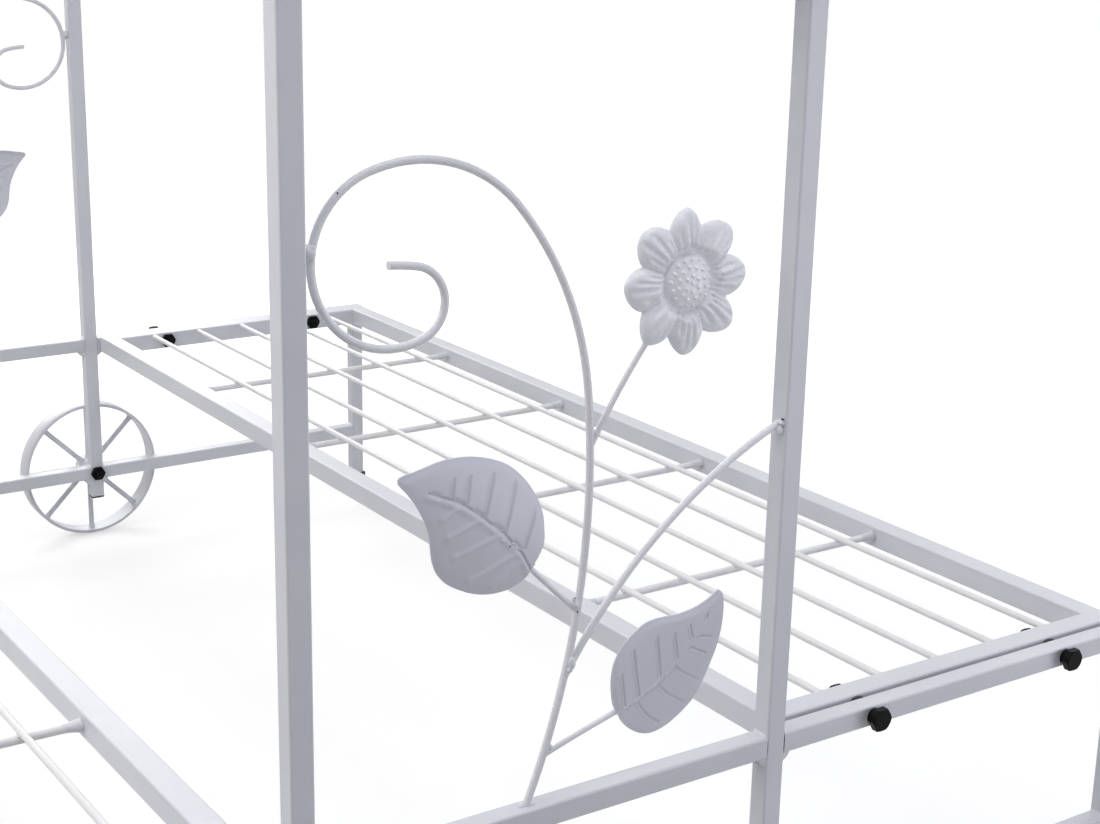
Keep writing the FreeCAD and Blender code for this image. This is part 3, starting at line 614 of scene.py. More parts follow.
def smooth_through(stations, count):
    """Points on a smooth curve through stations: each coordinate is a cubic (Catmull-Rom) function of
    the distance along the stations."""
    points = np.array(stations) / PER_LENGTH
    knots = np.concatenate([[0], np.cumsum(np.hypot(*np.diff(points, axis=0).T))])
    slopes = np.gradient(points, knots, axis=0)
    place = np.linspace(0, knots[-1], count)
    span = np.clip(np.searchsorted(knots, place, side="right") - 1, 0, len(knots) - 2)
    width = (knots[span + 1] - knots[span])[:, None]
    share = (place - knots[span])[:, None] / width
    start, end = points[span], points[span + 1]
    return ((2 * share ** 3 - 3 * share ** 2 + 1) * start + (3 * share ** 2 - 2 * share ** 3) * end
            + (share ** 3 - 2 * share ** 2 + share) * width * slopes[span]
            + (share ** 3 - share ** 2) * width * slopes[span + 1])


def distance_to_line(places, stations):
    """Distance of places from a chain of straight runs through stations."""
    nearest = np.full(places.shape[:-1], np.inf)
    for start, end in zip(stations[:-1], stations[1:]):
        run = end - start
        share = np.clip(((places - start) @ run) / (run @ run), 0, 1)
        nearest = np.minimum(nearest, np.linalg.norm(places - start - share[..., None] * run, axis=-1))
    return nearest


def near(places, stations, width):
    """1 on a line of stations, falling off to 0 as a bell curve of the distance over the width."""
    return np.exp(-(distance_to_line(places, stations) / width) ** 2)


def vein_depth(places, leaf):
    """Depth of the stamp: along each vein a narrow groove with a bank on its -X side and a dimple at
    its end. On the left of a leaf with ribs a round rib with a knob instead. A lumpy rib follows the
    first vein, with pits over it between the others."""
    turn = math.radians(leaf["heading"])
    towards_x = np.array((math.cos(turn), -math.sin(turn)))
    for number, vein in enumerate(leaf["veins"]):
        points = np.array(vein) / PER_LENGTH * leaf["length"]
        end = points[-1:].repeat(2, axis=0) + np.array(((0, 0), (0.01, 0)))
        if not number:
            lumps = sum((share * np.sin(places[..., 0] * rate) for share, rate in LUMPS), LUMPS_MEAN)
            beside, width, height, depth = leaf["midrib"]
            ridge = height * lumps * near(places, points + np.array((0.0, beside)), width)
            groove = depth * near(places, points, VEIN_WIDTH)
        elif leaf["ribs"] and vein[-1][1] > vein[0][1]:
            rib = np.maximum(near(places, points, RIB_WIDTH), near(places, end, KNOB_WIDTH))
            ridge = np.maximum(ridge, RIB_HEIGHT * rib)
        else:
            bank = near(places, points - BANK_PLACE * towards_x, BANK_WIDTH)
            ridge = np.maximum(ridge, BANK_HEIGHT * bank)
            dimple = DIMPLE_DEPTH * near(places, end, DIMPLE_WIDTH)
            groove = np.maximum(groove, np.maximum(near(places, points, VEIN_WIDTH), dimple))
    for pit in leaf["pits"]:
        points = np.array(pit) / PER_LENGTH * leaf["length"]
        groove = np.maximum(groove, PIT_DEPTH * near(places, points, PIT_WIDTH))
    return VEIN_DEPTH * groove - ridge * (1 - np.clip(groove, 0, 1))


print("leaf stations:", len(UPPER_LEAF["right"]), len(LOWER_LEAF["right"]), "on the right")


# %% Leaf mesh
EDGE_TURNS = np.radians((-60, -20, 20, 60))
EDGE_REACH = 0.7  # share of half the sheet that a rounded edge stands out
MIDDLE_SAG = -0.12  # how far the middle line bends to the right of a straight one
STAMP_BEHIND = 0.8  # share of the stamp that shows on the back


def leaf_surface(leaf, rows=200, columns=120):
    """Closed grid of a leaf: each row runs over the front from the right edge to the left one and
    returns over the back. Front depth = bow circle + stamp; the back lies one sheet behind."""
    right = smooth_through(leaf["right"], rows)
    left = smooth_through(leaf["left"], rows)
    along = np.linspace(0, 1, rows)[:, None]
    middle = right[:1] + along * (right[-1:] - right[:1])
    middle = (middle + along * (1 - along) * np.array((0.0, MIDDLE_SAG)))[:, None]
    share = np.linspace(-1, 1, columns)[None, :, None]
    side = np.where(share < 0, right[:, None], left[:, None])
    places = (middle + np.abs(share) * (side - middle)) * leaf["length"]
    width = np.linalg.norm(side - middle, axis=-1)
    from_edge = (1 - np.abs(share[..., 0])) * width * leaf["length"]
    rolled = np.where(share[..., 0] < 0, *leaf["rolled"])
    bow = leaf["bow"] - np.sqrt(leaf["bow"] ** 2 - places[..., 1] ** 2)
    bow = bow + EDGE_ROLL * rolled * (1 - smooth_step(from_edge / ROLL_WIDTH)) ** 2
    stamp = vein_depth(places, leaf)
    behind = bow + STAMP_BEHIND * stamp + LEAF_SHEET
    half = LEAF_SHEET / 2

    def rounded_edge(column, turns, outwards):
        """Places and depths of the sheet's rounded edge beside one column."""
        reach = outwards * half * EDGE_REACH * np.cos(turns)[None]
        return (places[:, column][:, None] + np.stack([0 * reach, reach], axis=-1),
                bow[:, column][:, None] + half + half * np.sin(turns)[None])

    left_places, left_depth = rounded_edge(-1, EDGE_TURNS, 1)
    right_places, right_depth = rounded_edge(0, EDGE_TURNS[::-1], -1)
    return (np.concatenate([places, left_places, places[:, ::-1], right_places], axis=1),
            np.concatenate([bow + stamp, left_depth, behind[:, ::-1], right_depth], axis=1))


def make_leaf(leaf):
    """A leaf at both ends, turned to its heading, in the middle of its node's box; gives its foot."""
    low, high = node_box("front_" + leaf["node"])
    places, depths = leaf_surface(leaf)
    turn = math.radians(leaf["heading"])
    x = places[..., 0] * math.cos(turn) - places[..., 1] * math.sin(turn)
    z = places[..., 0] * math.sin(turn) + places[..., 1] * math.cos(turn)
    centre = (low + high) / 2
    foot = np.array((centre[0] - (x.min() + x.max()) / 2 + leaf["shift"][0], low[1],
                     centre[2] - (z.min() + z.max()) / 2 + leaf["shift"][1]))
    surface = closed_tube(foot + np.stack([x, depths, z], axis=-1))
    make_at_both_ends(leaf["node"], [surface], coat_on_leaf, leaf["node"])
    return foot


print("leaf feet, mm:", [make_leaf(leaf).round(1) for leaf in (UPPER_LEAF, LOWER_LEAF)])

# %% [markdown]
# ## Bolts, nuts and spacers
# M8 hexagon bolts in black oxide steel hold the shelves, and four more are the wheels' axles. A six-sided
# cylinder would look like a toy, because a forged head has a crown turned to 30 degrees. So each head is
# a turned profile whose radius stays inside a hexagon, and the thread is a helix in the same surface.

# %% Turned shapes
ACROSS_FLATS = 13.0  # mm, as all lengths here
CROWN_RADIUS = 6.1  # of the flat circle on top of a head or nut
CROWN_SLOPE = math.tan(math.radians(60))  # radius for each mm of depth
CROWN_DEPTHS = np.array((0.0, 0.2, 0.4, 0.6, 0.85))
CROWN_RADII = CROWN_RADIUS + CROWN_SLOPE * CROWN_DEPTHS
HEAD_HEIGHT = 5.3
WASHER_FACE = 0.35  # height of the round face under a head
UNDER_HEAD_RADII = (9.0, 5.9, 5.8)  # past the hexagon's corners, then the washer face
SHANK_RADIUS = 4.0
THREAD_PITCH = 1.25
THREAD_DEPTH = 0.6
THREAD_LENGTH = 13.0
THREAD_CHAMFER = 0.7
THREAD_TIP_RADII = (3.4, 2.9, 0.0)
BORE_RADIUS = 4.1
SINK_RADIUS = 4.6  # of the countersink at both ends of a nut's bore
SINK_DEPTH = 0.5
NEAR_EDGE = 0.3  # share of a rounded edge's size for the row between its ends


def turned(place, inwards, depths, radii, flats=None, columns=48):
    """Surface of revolution about a line along Y. Each row has a depth behind the place and a radius;
    with flats, no radius passes half the width / cos(angle from the middle of the flat)."""
    turn = full_turn(columns)
    depth = np.asarray(depths, float)[:, None] + 0 * turn
    radius = np.asarray(radii, float)
    radius = (radius if radius.ndim == 2 else radius[:, None]) + 0 * turn
    if flats:
        from_middle = (turn + np.pi / 6) % (np.pi / 3) - np.pi / 6
        radius = np.minimum(radius, flats / 2 / np.cos(from_middle))
    return np.stack([place[0] + radius * np.sin(turn), place[1] + inwards * depth,
                     place[2] + radius * np.cos(turn)], axis=-1)


def outer_face(points):
    """Middle of a solid's outermost face along Y, the direction inwards, and its length along Y."""
    low, high = box_of(points)
    place = (low + high) / 2
    inwards = 1 if place[1] < 0 else -1
    place[1] = low[1] if inwards > 0 else high[1]
    return place, inwards, high[1] - low[1]


def bolt_surface(points, collar, collar_radius, columns=48):
    """One closed surface: crown cone, hexagon, washer face, collar, shank, thread. Thread radius =
    shank radius - depth * triangle wave of (distance / pitch - turn)."""
    place, inwards, length = outer_face(points)
    face, under, end = HEAD_HEIGHT - WASHER_FACE, HEAD_HEIGHT + collar, length - THREAD_CHAMFER
    thread = np.arange(length - THREAD_LENGTH, end, THREAD_PITCH / 6)
    turn = np.linspace(0, 1, columns, endpoint=False)
    wave = np.abs((thread[:, None] / THREAD_PITCH - turn) % 1 - 0.5) * 2
    run_in = smooth_step((thread - thread[0]) / THREAD_PITCH)[:, None]
    depths = np.concatenate([[0], CROWN_DEPTHS, [face, face, HEAD_HEIGHT, HEAD_HEIGHT, under, under],
                             thread, [end, length, length]])
    head = np.concatenate([[0], CROWN_RADII, UNDER_HEAD_RADII,
                           [collar_radius, collar_radius, SHANK_RADIUS]])
    radii = np.concatenate([head[:, None] + 0 * turn, SHANK_RADIUS - THREAD_DEPTH * wave * run_in,
                            np.array(THREAD_TIP_RADII)[:, None] + 0 * turn])
    return closed_tube(turned(place, inwards, depths, radii, ACROSS_FLATS, columns))


def nut_surface(points):
    """Closed loop round a nut: crowns on both faces, and a bore with small countersinks."""
    place, inwards, length = outer_face(points)
    depths = np.concatenate([[0], CROWN_DEPTHS, length - CROWN_DEPTHS[::-1],
                             [length, length - SINK_DEPTH, SINK_DEPTH]])
    radii = np.concatenate([[SINK_RADIUS], CROWN_RADII, CROWN_RADII[::-1],
                            [SINK_RADIUS, BORE_RADIUS, BORE_RADIUS]])
    return closed_ring(turned(place, inwards, depths, radii, ACROSS_FLATS))


def ring_surface(points, bore, edge, columns=48):
    """Closed loop round a plain ring with rounded outer edges."""
    place, inwards, length = outer_face(points)
    low, high = box_of(points)
    radius, near_edge = (high[0] - low[0]) / 2, NEAR_EDGE * edge
    depths = (0, 0, near_edge, edge, length - edge, length - near_edge, length, length)
    rise = (radius - edge, radius - near_edge, radius)
    return closed_ring(turned(place, inwards, depths, (bore, *rise, *rise[::-1], bore), None, columns))


# %% Bolts, nuts and spacers
COLLAR_LENGTH = 3.0
COLLAR_RADIUS = 5.0
SPACER_BORE = 4.2
SPACER_EDGE = 0.35
FASTENER_EDGE = math.radians(25)
HARDWARE = {"black_steel": (oxide, "forged"), "black_plastic": (plastic, "moulded")}


def make_hardware(node, slot, surface, *sizes):
    """A surface for every solid of a node, in one piece that replaces the node."""
    finish, ending = HARDWARE[slot]
    make_piece(f"{node}_{ending}", [surface(part, *sizes) for part in loose_parts(node)], finish, [node],
               sharp=FASTENER_EDGE)


make_hardware("shelf_bolts", "black_steel", bolt_surface, COLLAR_LENGTH, COLLAR_RADIUS)
make_hardware("axle_bolts", "black_steel", bolt_surface, 0.0, SHANK_RADIUS)
make_hardware("shelf_nuts", "black_steel", nut_surface)
make_hardware("axle_nuts", "black_steel", nut_surface)
make_hardware("shelf_spacers", "black_plastic", ring_surface, SPACER_BORE, SPACER_EDGE)

# %% [markdown]
# ## Feet and plugs
# Soft plastic caps stand under the legs, and plugs close the posts. Both are moulded, so every edge is
# round. A bevelled box would do, but a rounded square that changes size with height gives the same
# shape as one closed surface.

# %% Moulded squares
SMALLEST_HALF = 1.0  # mm, for working out the rows that shrink to a point


def moulded(points, profile, columns=96):
    """Closed surface of rounded squares about a solid's middle: each row has a height over its lowest
    point, a half width and a corner radius. A point = its place on the square, pulled back to the
    corner's centre and out again by the radius."""
    low, high = box_of(points)
    turn = full_turn(columns)
    heading = np.stack([np.cos(turn), np.sin(turn)], axis=-1)
    on_square = heading / np.abs(heading).max(axis=-1, keepdims=True)
    heights, halves, corners = (np.array(column, float)[:, None, None] for column in zip(*profile))
    widths = np.maximum(halves, SMALLEST_HALF)
    inside = np.clip(on_square * widths, corners - widths, widths - corners)
    beyond = on_square * widths - inside
    beyond = corners * beyond / np.linalg.norm(beyond, axis=-1, keepdims=True)
    outline = (inside + beyond) * (halves > 0)
    places = outline + (low + high)[:2] / 2
    return closed_tube(np.concatenate([places, low[2] + heights + 0 * outline[..., :1]], axis=-1))


FOOT_PROFILE = ((4.0, 0, .5), (4.0, 6.4, .6), (22.0, 6.4, .6), (22.0, 7.8, 1.7), (21.85, 8.2, 1.9),
                (21.4, 8.35, 1.9), (1.2, 8.35, 1.9), (0.35, 8.1, 1.9), (0.0, 7.4, 1.9), (0.0, 0, .5))
PLUG_PROFILE = ((14.0, 0, .5), (14.0, 5.0, .6), (2.0, 5.15, .6), (2.0, 6.0, 1.2), (1.75, 6.3, 1.3),
                (0.7, 6.35, 1.3), (0.2, 6.15, 1.3), (0.0, 5.6, 1.2), (0.0, 0, .5))
CORNERS = ("front_left", "front_right", "rear_left", "rear_right")
for corner_name in CORNERS:
    make_hardware("foot_" + corner_name, "black_plastic", moulded, FOOT_PROFILE)
make_hardware("post_plugs", "black_plastic", moulded, PLUG_PROFILE)

# %% [markdown]
# ## Wheels
# A wheel is a band rolled from flat bar with round spokes welded to it and to a turned hub. The band's
# edges are rounded by the rolling mill, and each spoke spreads a little into its welds.

# %% Wheels and hubs
SPOKE_COUNT = 8
SPOKE_RADIUS = 2.5
SPOKE_FLARE = 1.5  # mm that a spoke's weld stands out at both ends
FLARE_LENGTH = 1.6
SPOKE_RIPPLE = 0.05
SPOKE_SINK = 0.6  # mm that a spoke goes into the hub and the band
BAND_THICKNESS = 3.0
ROLLED_EDGE = 0.9


def spoke_surface(middle, number, hub_radius, band_radius, rows=18, columns=16):
    """Round bar from hub to band. Its radius = its own + flare * exp(-distance from its ends)."""
    angle = 2 * np.pi * number / SPOKE_COUNT
    outwards = np.array((math.sin(angle), 0.0, math.cos(angle)))
    aside = np.array((math.cos(angle), 0.0, -math.sin(angle)))
    along = hub_radius + (band_radius - hub_radius) * smooth_step(np.linspace(0, 1, rows))
    nearest_end = np.minimum(along - hub_radius, band_radius - along)
    radius = SPOKE_RADIUS + SPOKE_FLARE * np.exp(-nearest_end / FLARE_LENGTH)
    along = np.concatenate([along[:1], along, along[-1:]])[:, None, None]
    radius = np.concatenate([[0], radius, [0]])[:, None, None]
    turn = full_turn(columns)[None, :, None]
    ripple = 1 + SPOKE_RIPPLE * np.sin(3 * turn + number)
    towards = np.cos(turn) * aside + np.sin(turn) * np.array((0.0, 1.0, 0.0))
    return closed_tube(middle + along * outwards + ripple * radius * towards)


for corner_name in CORNERS:
    wheel_box, hub_box = (node_box(kind + corner_name) for kind in ("wheel_", "hub_"))
    band_bore = np.ptp(wheel_box[:, 0]) / 2 - BAND_THICKNESS
    spoke_ends = (np.ptp(hub_box[:, 0]) / 2 - SPOKE_SINK, band_bore + SPOKE_SINK)
    spokes = [spoke_surface(wheel_box.mean(axis=0), number, *spoke_ends) for number in range(SPOKE_COUNT)]
    band = ring_surface(wheel_box, band_bore, ROLLED_EDGE, 144)
    make_piece(f"wheel_{corner_name}_rolled", [band, *spokes], coat_on_tube, ["wheel_" + corner_name],
               body=corner_name + "_wheel")
    make_piece(f"hub_{corner_name}_turned", [ring_surface(hub_box, BORE_RADIUS, ROLLED_EDGE, 64)],
               coat_on_tube, ["hub_" + corner_name], body=corner_name + "_wheel")

# %% [markdown]
# ## Welds
# The tubes are welded in their inside corners and left with a seam in front, the wires are resistance
# welded where they cross, and the ornament is tacked with small lumps. Sculpting them one by one would
# take long, so a bead and a lump are formulas, and most places come from the model's own solids, the rest
# from a table.

# %% Bead and lump
RIPPLE_PITCH = 1.7  # mm between the ripples of a bead
RIPPLES = (0.07, 0.05)  # shares of its size, of the ripples and of slow waves along it
BULGE = 0.22
ROOT_DEPTH = 0.25  # mm that a bead reaches into both faces
BEAD_STEP = 0.45  # mm between its rows
DROP_WAVES = (0.13, 0.08)  # shares of a drop's size


def bead(start, end, out_a, out_b, leg, phase, columns=10):
    """Fillet in the inside corner of two faces: at each step along, the points of a quarter turn from
    one face to the other at radius leg / (cos + sin) * bulge, rippled, and closed inside the corner."""
    start, end, out_a, out_b = (np.array(value, float) for value in (start, end, out_a, out_b))
    length = np.linalg.norm(end - start)
    rows = max(12, int(length / BEAD_STEP))
    along = np.linspace(0, 1, rows)[:, None, None]
    swell = np.clip(1 - np.abs(2 * along - 1) ** 8, 0, 1) ** 0.5
    ripple = 1 + RIPPLES[0] * np.sin(2 * np.pi * length * along / RIPPLE_PITCH + phase)
    ripple = ripple + RIPPLES[1] * np.sin(9 * along + phase)
    turn = np.linspace(0, np.pi / 2, columns - 1)[None, :, None]
    radius = leg * (1 + BULGE * np.sin(2 * turn)) / (np.cos(turn) + np.sin(turn))
    skin = radius * ripple * (np.cos(turn) * out_a + np.sin(turn) * out_b)
    root = -ROOT_DEPTH * (out_a + out_b) + 0 * skin[:, :1]
    return closed_tube(start + along * (end - start) + swell * np.concatenate([skin, root], axis=1))


def lump(centre, half, seed, rows=7, columns=12):
    """Drop of weld metal: an ellipsoid whose width is waved by two slow waves round it."""
    down = np.linspace(0, np.pi, rows)[:, None]
    turn = full_turn(columns)[None]
    wave = 1 + DROP_WAVES[0] * np.sin(3 * turn + 5 * seed) * np.sin(2 * down + seed)
    wave = wave + DROP_WAVES[1] * np.cos(2 * turn + seed)
    shape = np.stack([np.sin(down) * np.cos(turn) * wave, np.sin(down) * np.sin(turn) * wave,
                      np.cos(down) + 0 * turn], axis=-1)
    return closed_tube(np.array(centre) + shape * np.array(half))


# %% Frame welds
UNDER_LEG = 6.2  # mm, legs of the beads under and over a rail
OVER_LEG = 1.3
MITRE_LEG = 3.6
BEAD_INSET = 0.5  # mm from the tube's faces to the bead's ends
PHASE_STEP = 1.3
OUTER_END = 1.0  # mm inside a leg's outer side, from where on a rail ends in a mitre


def bead_across(box, x, z, away, up, leg, phase):
    """Bead across a tube's width at x and z, between faces that look along X and Z."""
    near, far = box[0][1] + BEAD_INSET, box[1][1] - BEAD_INSET
    return bead((x, near, z), (x, far, z), (away, 0, 0), (0, 0, up), leg, phase)


def frame_welds():
    """Beads over and under every rail end of the front frame, and under the mitre of each leg."""
    surfaces, phase = [], 0.0
    leg_box = node_box("front_leg_right")
    for node in ("front_shelf_rails", "front_stretcher_rails", "front_top_rail"):
        for low, high in map(box_of, loose_parts(node)):
            for x, away in ((low[0], 1), (high[0], -1)):
                phase += PHASE_STEP
                if abs(x) < leg_box[1][0] - OUTER_END:
                    surfaces += [bead_across((low, high), x, z, away, up, leg, phase)
                                 for z, up, leg in ((high[2], 1, OVER_LEG), (low[2], -1, UNDER_LEG))]
    rail_low = node_box("front_shelf_rails")[0][2]
    surfaces += [bead_across(leg_box, side * leg_box[0][0], rail_low, -side, -1, MITRE_LEG, side)
                 for side in (-1, 1)]
    return surfaces


make_at_both_ends("frame_welds", frame_welds(), coat_on_weld)

# %% Shelf welds
FLARE_REACH = 13.0  # mm of a cross wire's end that its weld widens
FLARE_SKIN = 0.1  # mm of weld all round the wire
FLARE_GROWTH = (0.8, 2.1)  # mm that it widens along Y and Z
FLARE_DROP = 0.2  # mm that its end sinks
FLARE_RIPPLE = 0.06
CROSSING_DROP = (2.5, 2.7, 1.2)  # mm, half sizes along X, Y and Z
END_DROP = (2.7, 1.5, 2.2)
END_DROP_INSET = 0.6  # mm from a long wire's end
END_DROP_SINK = 0.9  # mm below its middle


def flare_surface(tip, inwards, wire_radius, phase, rows=12, columns=16):
    """Wedge of weld at a cross wire's end: over its last part its height and width grow with the
    square of the share s, and its centre sinks a little."""
    share = np.linspace(0, 1, rows)[:, None]
    turn = full_turn(columns)[None]
    ends = np.concatenate([[0], np.ones(rows - 2), [0]])[:, None]
    x = tip[0] + inwards * FLARE_REACH * (1 - share) + 0 * turn
    ripple = 1 + FLARE_RIPPLE * np.sin(7 * share + phase)
    width, height = (wire_radius + FLARE_SKIN + growth * share ** 2 for growth in FLARE_GROWTH)
    y = tip[1] + ends * width * np.cos(turn) * ripple
    z = tip[2] - FLARE_DROP * share ** 2 + ends * height * np.sin(turn)
    return closed_tube(np.stack([x, y, z], axis=-1))


def shelf_welds(shelf_name):
    """Flares at the cross wires' ends, lumps under the long wires' ends and drops at every crossing."""
    boxes = [box_of(rod) for rod in loose_parts(shelf_name + "_wires")]
    long_wires = [(low, high) for low, high in boxes if high[1] - low[1] > high[0] - low[0]]
    cross_wires = [(low, high) for low, high in boxes if high[1] - low[1] < high[0] - low[0]]
    surfaces = []
    for number, (low, high) in enumerate(cross_wires):
        middle, radius = (low + high) / 2, (high[2] - low[2]) / 2
        surfaces += [flare_surface((x, *middle[1:]), inwards, radius, number + x)
                     for x, inwards in ((low[0], 1), (high[0], -1))]
        for long_low, long_high in long_wires:
            x = (long_low[0] + long_high[0]) / 2
            surfaces.append(lump((x, middle[1], (long_low[2] + high[2]) / 2), CROSSING_DROP, x + number))
    for low, high in long_wires:
        x, _, z = (low + high) / 2
        surfaces += [lump((x, y, z - END_DROP_SINK), END_DROP, x + y)
                     for y in (low[1] + END_DROP_INSET, high[1] - END_DROP_INSET)]
    return surfaces


for shelf_name in ("right_shelf", "left_shelf", "top_shelf"):
    make_piece(shelf_name + "_welds", shelf_welds(shelf_name), coat_on_weld)


# %% Tacks, dark specks and painted shade
# Places are mm from the middle of the front low rail's top, with half sizes along X, Y and Z.
TACKS = (((140.0, -3.5, 183.4), (1.5, 2.4, 1.5)), ((139.7, -2.2, 179.2), (1.9, 3.3, 2.8)),
         ((-137.6, -1.8, 301.4), (3.4, 2.3, 3.1)),
         ((-136.4, -2.2, 303.4), (1.9, 1.6, 1.3)), ((7.8, -2.9, 74.8), (2.2, 1.5, 3.6)),
         ((6.9, -2.4, 71.2), (1.7, 1.5, 1.6)), ((9.9, -2.8, 106.2), (1.6, 1.3, 1.5)),
         ((8.4, -2.3, 109.4), (1.2, 1.1, 1.3)),
         ((-28.0, -3.2, 144.6), (0.9, 0.6, 0.8)), ((-30.0, -3.1, 146.9), (0.7, 0.5, 0.6)),
         ((-35.2, -3.2, 149.3), (1.1, 0.6, 0.8)))
# Dark oxide lumps. The first lies in the gap above the branch's end on the right post and the second in
# the upper leaf's notch, both painted shade. The others are small dark specks at welds.
DARK_SPECKS_AND_GAP_SHADE = (((139.9, -4.1, 185.5), (0.6, 1.2, 0.4)), ((-31.6, -3.3, 145.9), (0.35, 0.4, 0.6)),
              ((8.2, -3.2, 110.4), (0.3, 0.4, 0.35)), ((11.3, -2.4, 105.2), (0.3, 0.5, 0.3)),
              ((11.1, -1.6, 101.8), (0.6, 0.6, 0.5)), ((6.6, -2.6, 71.2), (0.4, 0.5, 0.4)),
              ((-123.4, -2.0, 326.7), (0.45, 0.5, 0.35)))
SEAM_HALF = (0.40, 0.35, 5.1)
SEAM_DEPTH = 0.45  # mm behind the tubes' front
SEAM_INSET = 0.30  # mm from a post's side, over its rounded corner
FOOT_SLICE = 0.5  # mm of the scroll over its lowest point, whose middle is its foot
NEAREST_POINTS = 8  # of two solids, whose mean is the place where they meet
# Places and half sizes in mm of the lumps round the scroll's foot and round a stem's end.
SCROLL_FOOT = (((-2.4, 0.2, 0.2), (2.2, -0.6, 0.2), (0.2, 2.4, 0.1)), (2.4, 2.0, 1.4))
STEM_END = (((-0.8, -0.7, -1.2), (0.8, -0.5, 1.3), (0.2, 1.2, 0.1)), (1.5, 1.3, 1.8))


def rail_top_middle():
    """Middle of the front low rail's top."""
    low, high = node_box("front_shelf_rails")
    return np.array(((low[0] + high[0]) / 2, (low[1] + high[1]) / 2, high[2]))


def contact_place(part, other):
    """Mean of the points of one solid that lie nearest to another."""
    apart = np.linalg.norm(part[:, None] - other[None], axis=-1).min(axis=1)
    return part[np.argsort(apart)[:NEAREST_POINTS]].mean(axis=0)


def lumps_at(places):
    """Lumps from a table of places and half sizes."""
    origin = rail_top_middle()
    return [lump(origin + np.array(place), half, seed) for seed, (place, half) in enumerate(places)]


def lumps_round(middle, shifts, half, first=0):
    """A few finer lumps of one half size at their shifts from a middle."""
    return [lump(middle + np.array(shift), half, first + seed, 8, 14) for seed, shift in enumerate(shifts)]


def stem_tacks():
    """Lumps round the scroll's foot and where each thin stem meets the scroll."""
    scroll = np.concatenate(loose_parts("front_scroll_wire"))
    foot = scroll[scroll[:, 2] < scroll[:, 2].min() + FOOT_SLICE].mean(axis=0)
    surfaces = lumps_round(foot, *SCROLL_FOOT)
    for number, part in enumerate(loose_parts("front_vine_branches")):
        surfaces += lumps_round(contact_place(part, scroll), *STEM_END, number)
    return surfaces


def seam_shade_lumps():
    """A dark lump laid in the notch where each rail of the front frame meets a post: painted shade of the
    notch.
    """
    post_low, post_high = node_box("front_post_right")
    surfaces = []
    for node in ("front_shelf_rails", "front_stretcher_rails"):
        low, high = node_box(node)
        for side in (-1, 1):
            for seed, x in enumerate((post_low[0] + SEAM_INSET, post_high[0] - SEAM_INSET)):
                place = (side * x, low[1] + SEAM_DEPTH, (low[2] + high[2]) / 2)
                surfaces.append(lump(place, SEAM_HALF, seed + side, 12, 10))
    return surfaces


make_at_both_ends("ornament_welds", stem_tacks() + lumps_at(TACKS), coat_on_weld)
# Their dark oxide finish is painted shade in the gaps, notches and seams, and the own colour of the small
# specks.
make_at_both_ends("dark_specks_and_painted_shade", lumps_at(DARK_SPECKS_AND_GAP_SHADE) + seam_shade_lumps(), oxide)

# %% [markdown]
# ## Floor and light
# A pale sweep of floor carries the stand. Its own diffuse surface keeps the shadow, and a little emission
# that only the camera and mirrors see lifts it to white. Large soft lamps light the stand.

# %% Floor
FLOOR_REACH = 12.0
FLOOR_TONES = (0.55, 0.57)
FLOOR_SCALE = 3.0  # waves per metre of its faint mottle
GLOW = 0.55  # what the camera sees on top of the lit floor
GLOW_START = 0.75  # m from the stand's middle, where the lamps' light gets weaker
GLOW_END = 2.2  # m, from where on the glow alone is white


def seen_rays(tree):
    """1 for the rays that the camera, a mirror or glass sends out, and 0 for the others."""
    rays = add_node(tree, "LightPath").outputs
    seen = maths(tree, "MAXIMUM", rays["Is Camera Ray"], rays["Is Glossy Ray"])
    return maths(tree, "MAXIMUM", seen, rays["Is Transmission Ray"])


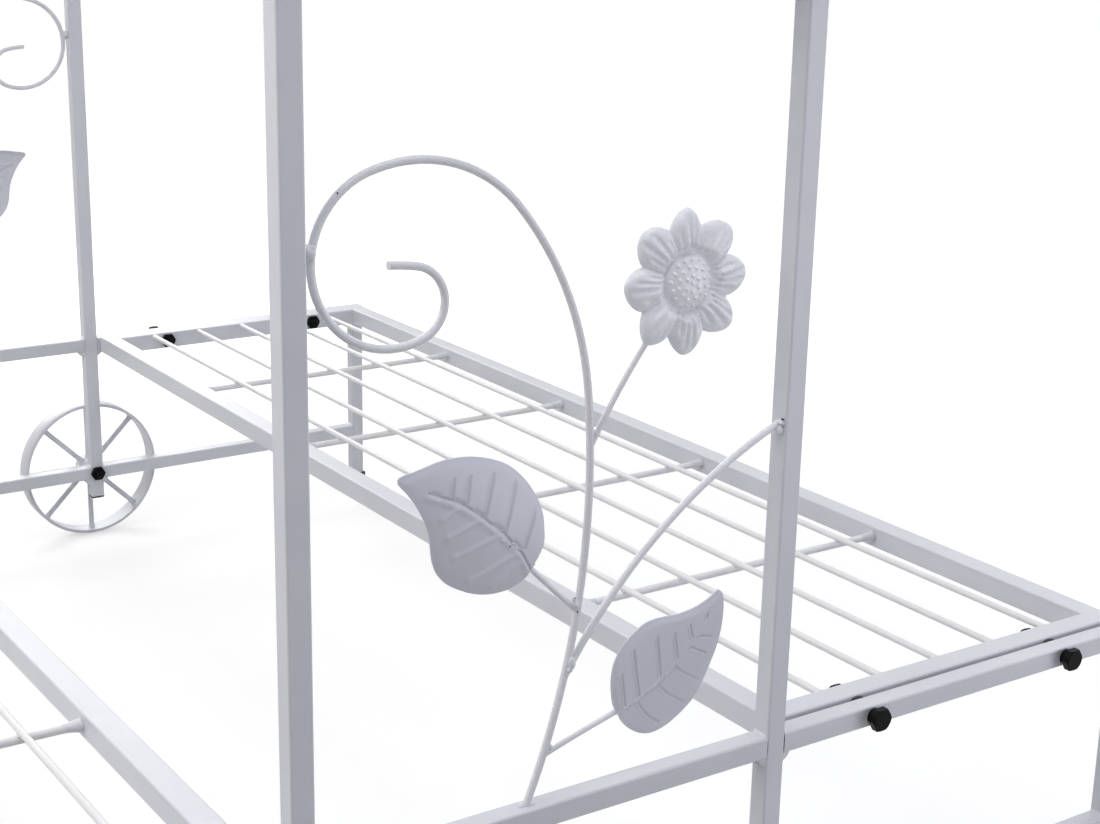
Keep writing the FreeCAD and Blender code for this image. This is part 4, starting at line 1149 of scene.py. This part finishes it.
def make_floor():
    """A plain pale plane under the stand."""
    mesh = bpy.data.meshes.new("floor")
    corners = [(x * FLOOR_REACH, y * FLOOR_REACH, 0) for x, y in ((-1, -1), (1, -1), (1, 1), (-1, 1))]
    mesh.from_pydata(corners, [], [(0, 1, 2, 3)])
    material = bpy.data.materials.new("pale_floor")
    material.use_nodes = True
    tree = material.node_tree
    tree.nodes.clear()
    place = add_node(tree, "TexCoord").outputs["Object"]
    tone = mapped(tree, noise(tree, place, FLOOR_SCALE, detail=2.0)[0], 0.0, 1.0, *FLOOR_TONES)
    diffuse = add_node(tree, "BsdfDiffuse", {"Color": tone})
    reach = add_node(tree, "VectorMath", {0: place}, operation="LENGTH").outputs["Value"]
    lift = mapped(tree, reach, GLOW_START, GLOW_END, GLOW, 1.0, interpolation_type="SMOOTHSTEP")
    strength = maths(tree, "MULTIPLY", seen_rays(tree), lift)
    glow = add_node(tree, "Emission", {"Color": (1, 1, 1, 1), "Strength": strength})
    both = add_node(tree, "AddShader", {0: diffuse.outputs[0], 1: glow.outputs[0]})
    add_node(tree, "OutputMaterial", {"Surface": both.outputs[0]})
    mesh.materials.append(material)
    floor = new_object("floor", mesh)


make_floor()
print("floor", FLOOR_REACH, "m each way")


# %% Lamps and world
WARM = (1.0, 1.0, 0.985)
COOL = (0.965, 0.98, 1.07)
# Name, place and aim in metres, size in metres, power in watts and colour.
LAMPS = (("overhead", (0.1, -0.2, 4.4), (0.0, -0.2, 0.4), 3.8, 59.9, WARM),
         ("left_key", (-1.3, -0.4, 1.3), (0.0, -0.5, 0.4), 0.9, 10.7, WARM),
         ("left_back_fill", (-1.3, 0.7, 1.0), (0.0, 0.0, 0.4), 1.0, 6.0, WARM),
         ("right_low_fill", (1.1, -1.5, 0.3), (0.1, -0.5, 0.3), 0.8, 5.9, COOL),
         ("right_side", (1.6, -0.2, 0.9), (0.1, -0.3, 0.4), 1.0, 5.0, COOL),
         ("back", (0.3, 1.8, 1.0), (0.1, 0.0, 0.3), 1.2, 18.5, WARM),
         ("front_top", (-0.325, -1.235, 1.375), (-0.1, -0.53, 0.55), 0.6, 3.0, COOL),
         ("top_right", (0.35, -0.86, 1.575), (0.05, -0.53, 0.45), 0.45, 2.5, COOL))


def soft_lamp(name, place, aim, size, power, colour):
    """A square area lamp at a place, facing its aim, that the camera doesn't see."""
    data = bpy.data.lights.new(name, "AREA")
    data.shape = "SQUARE"
    data.size = size
    data.energy = power
    data.color = colour
    lamp = new_object(name, data)
    lamp.location = Vector(place)
    lamp.rotation_euler = (Vector(aim) - lamp.location).to_track_quat("-Z", "Y").to_euler()
    lamp.visible_camera = False


def white_world():
    """A world that gives no light of its own, and whose background is white where it is seen."""
    world = bpy.data.worlds.new("studio")
    bpy.context.scene.world = world
    world.use_nodes = True
    background = world.node_tree.nodes["Background"].inputs
    background["Color"].default_value = (1, 1, 1, 1)
    feed(world.node_tree, background["Strength"], seen_rays(world.node_tree))


for lamp_values in LAMPS:
    soft_lamp(*lamp_values)
white_world()
bpy.context.scene.view_settings.view_transform = "Standard"
print("lamps:", sorted(light.name for light in bpy.data.lights))
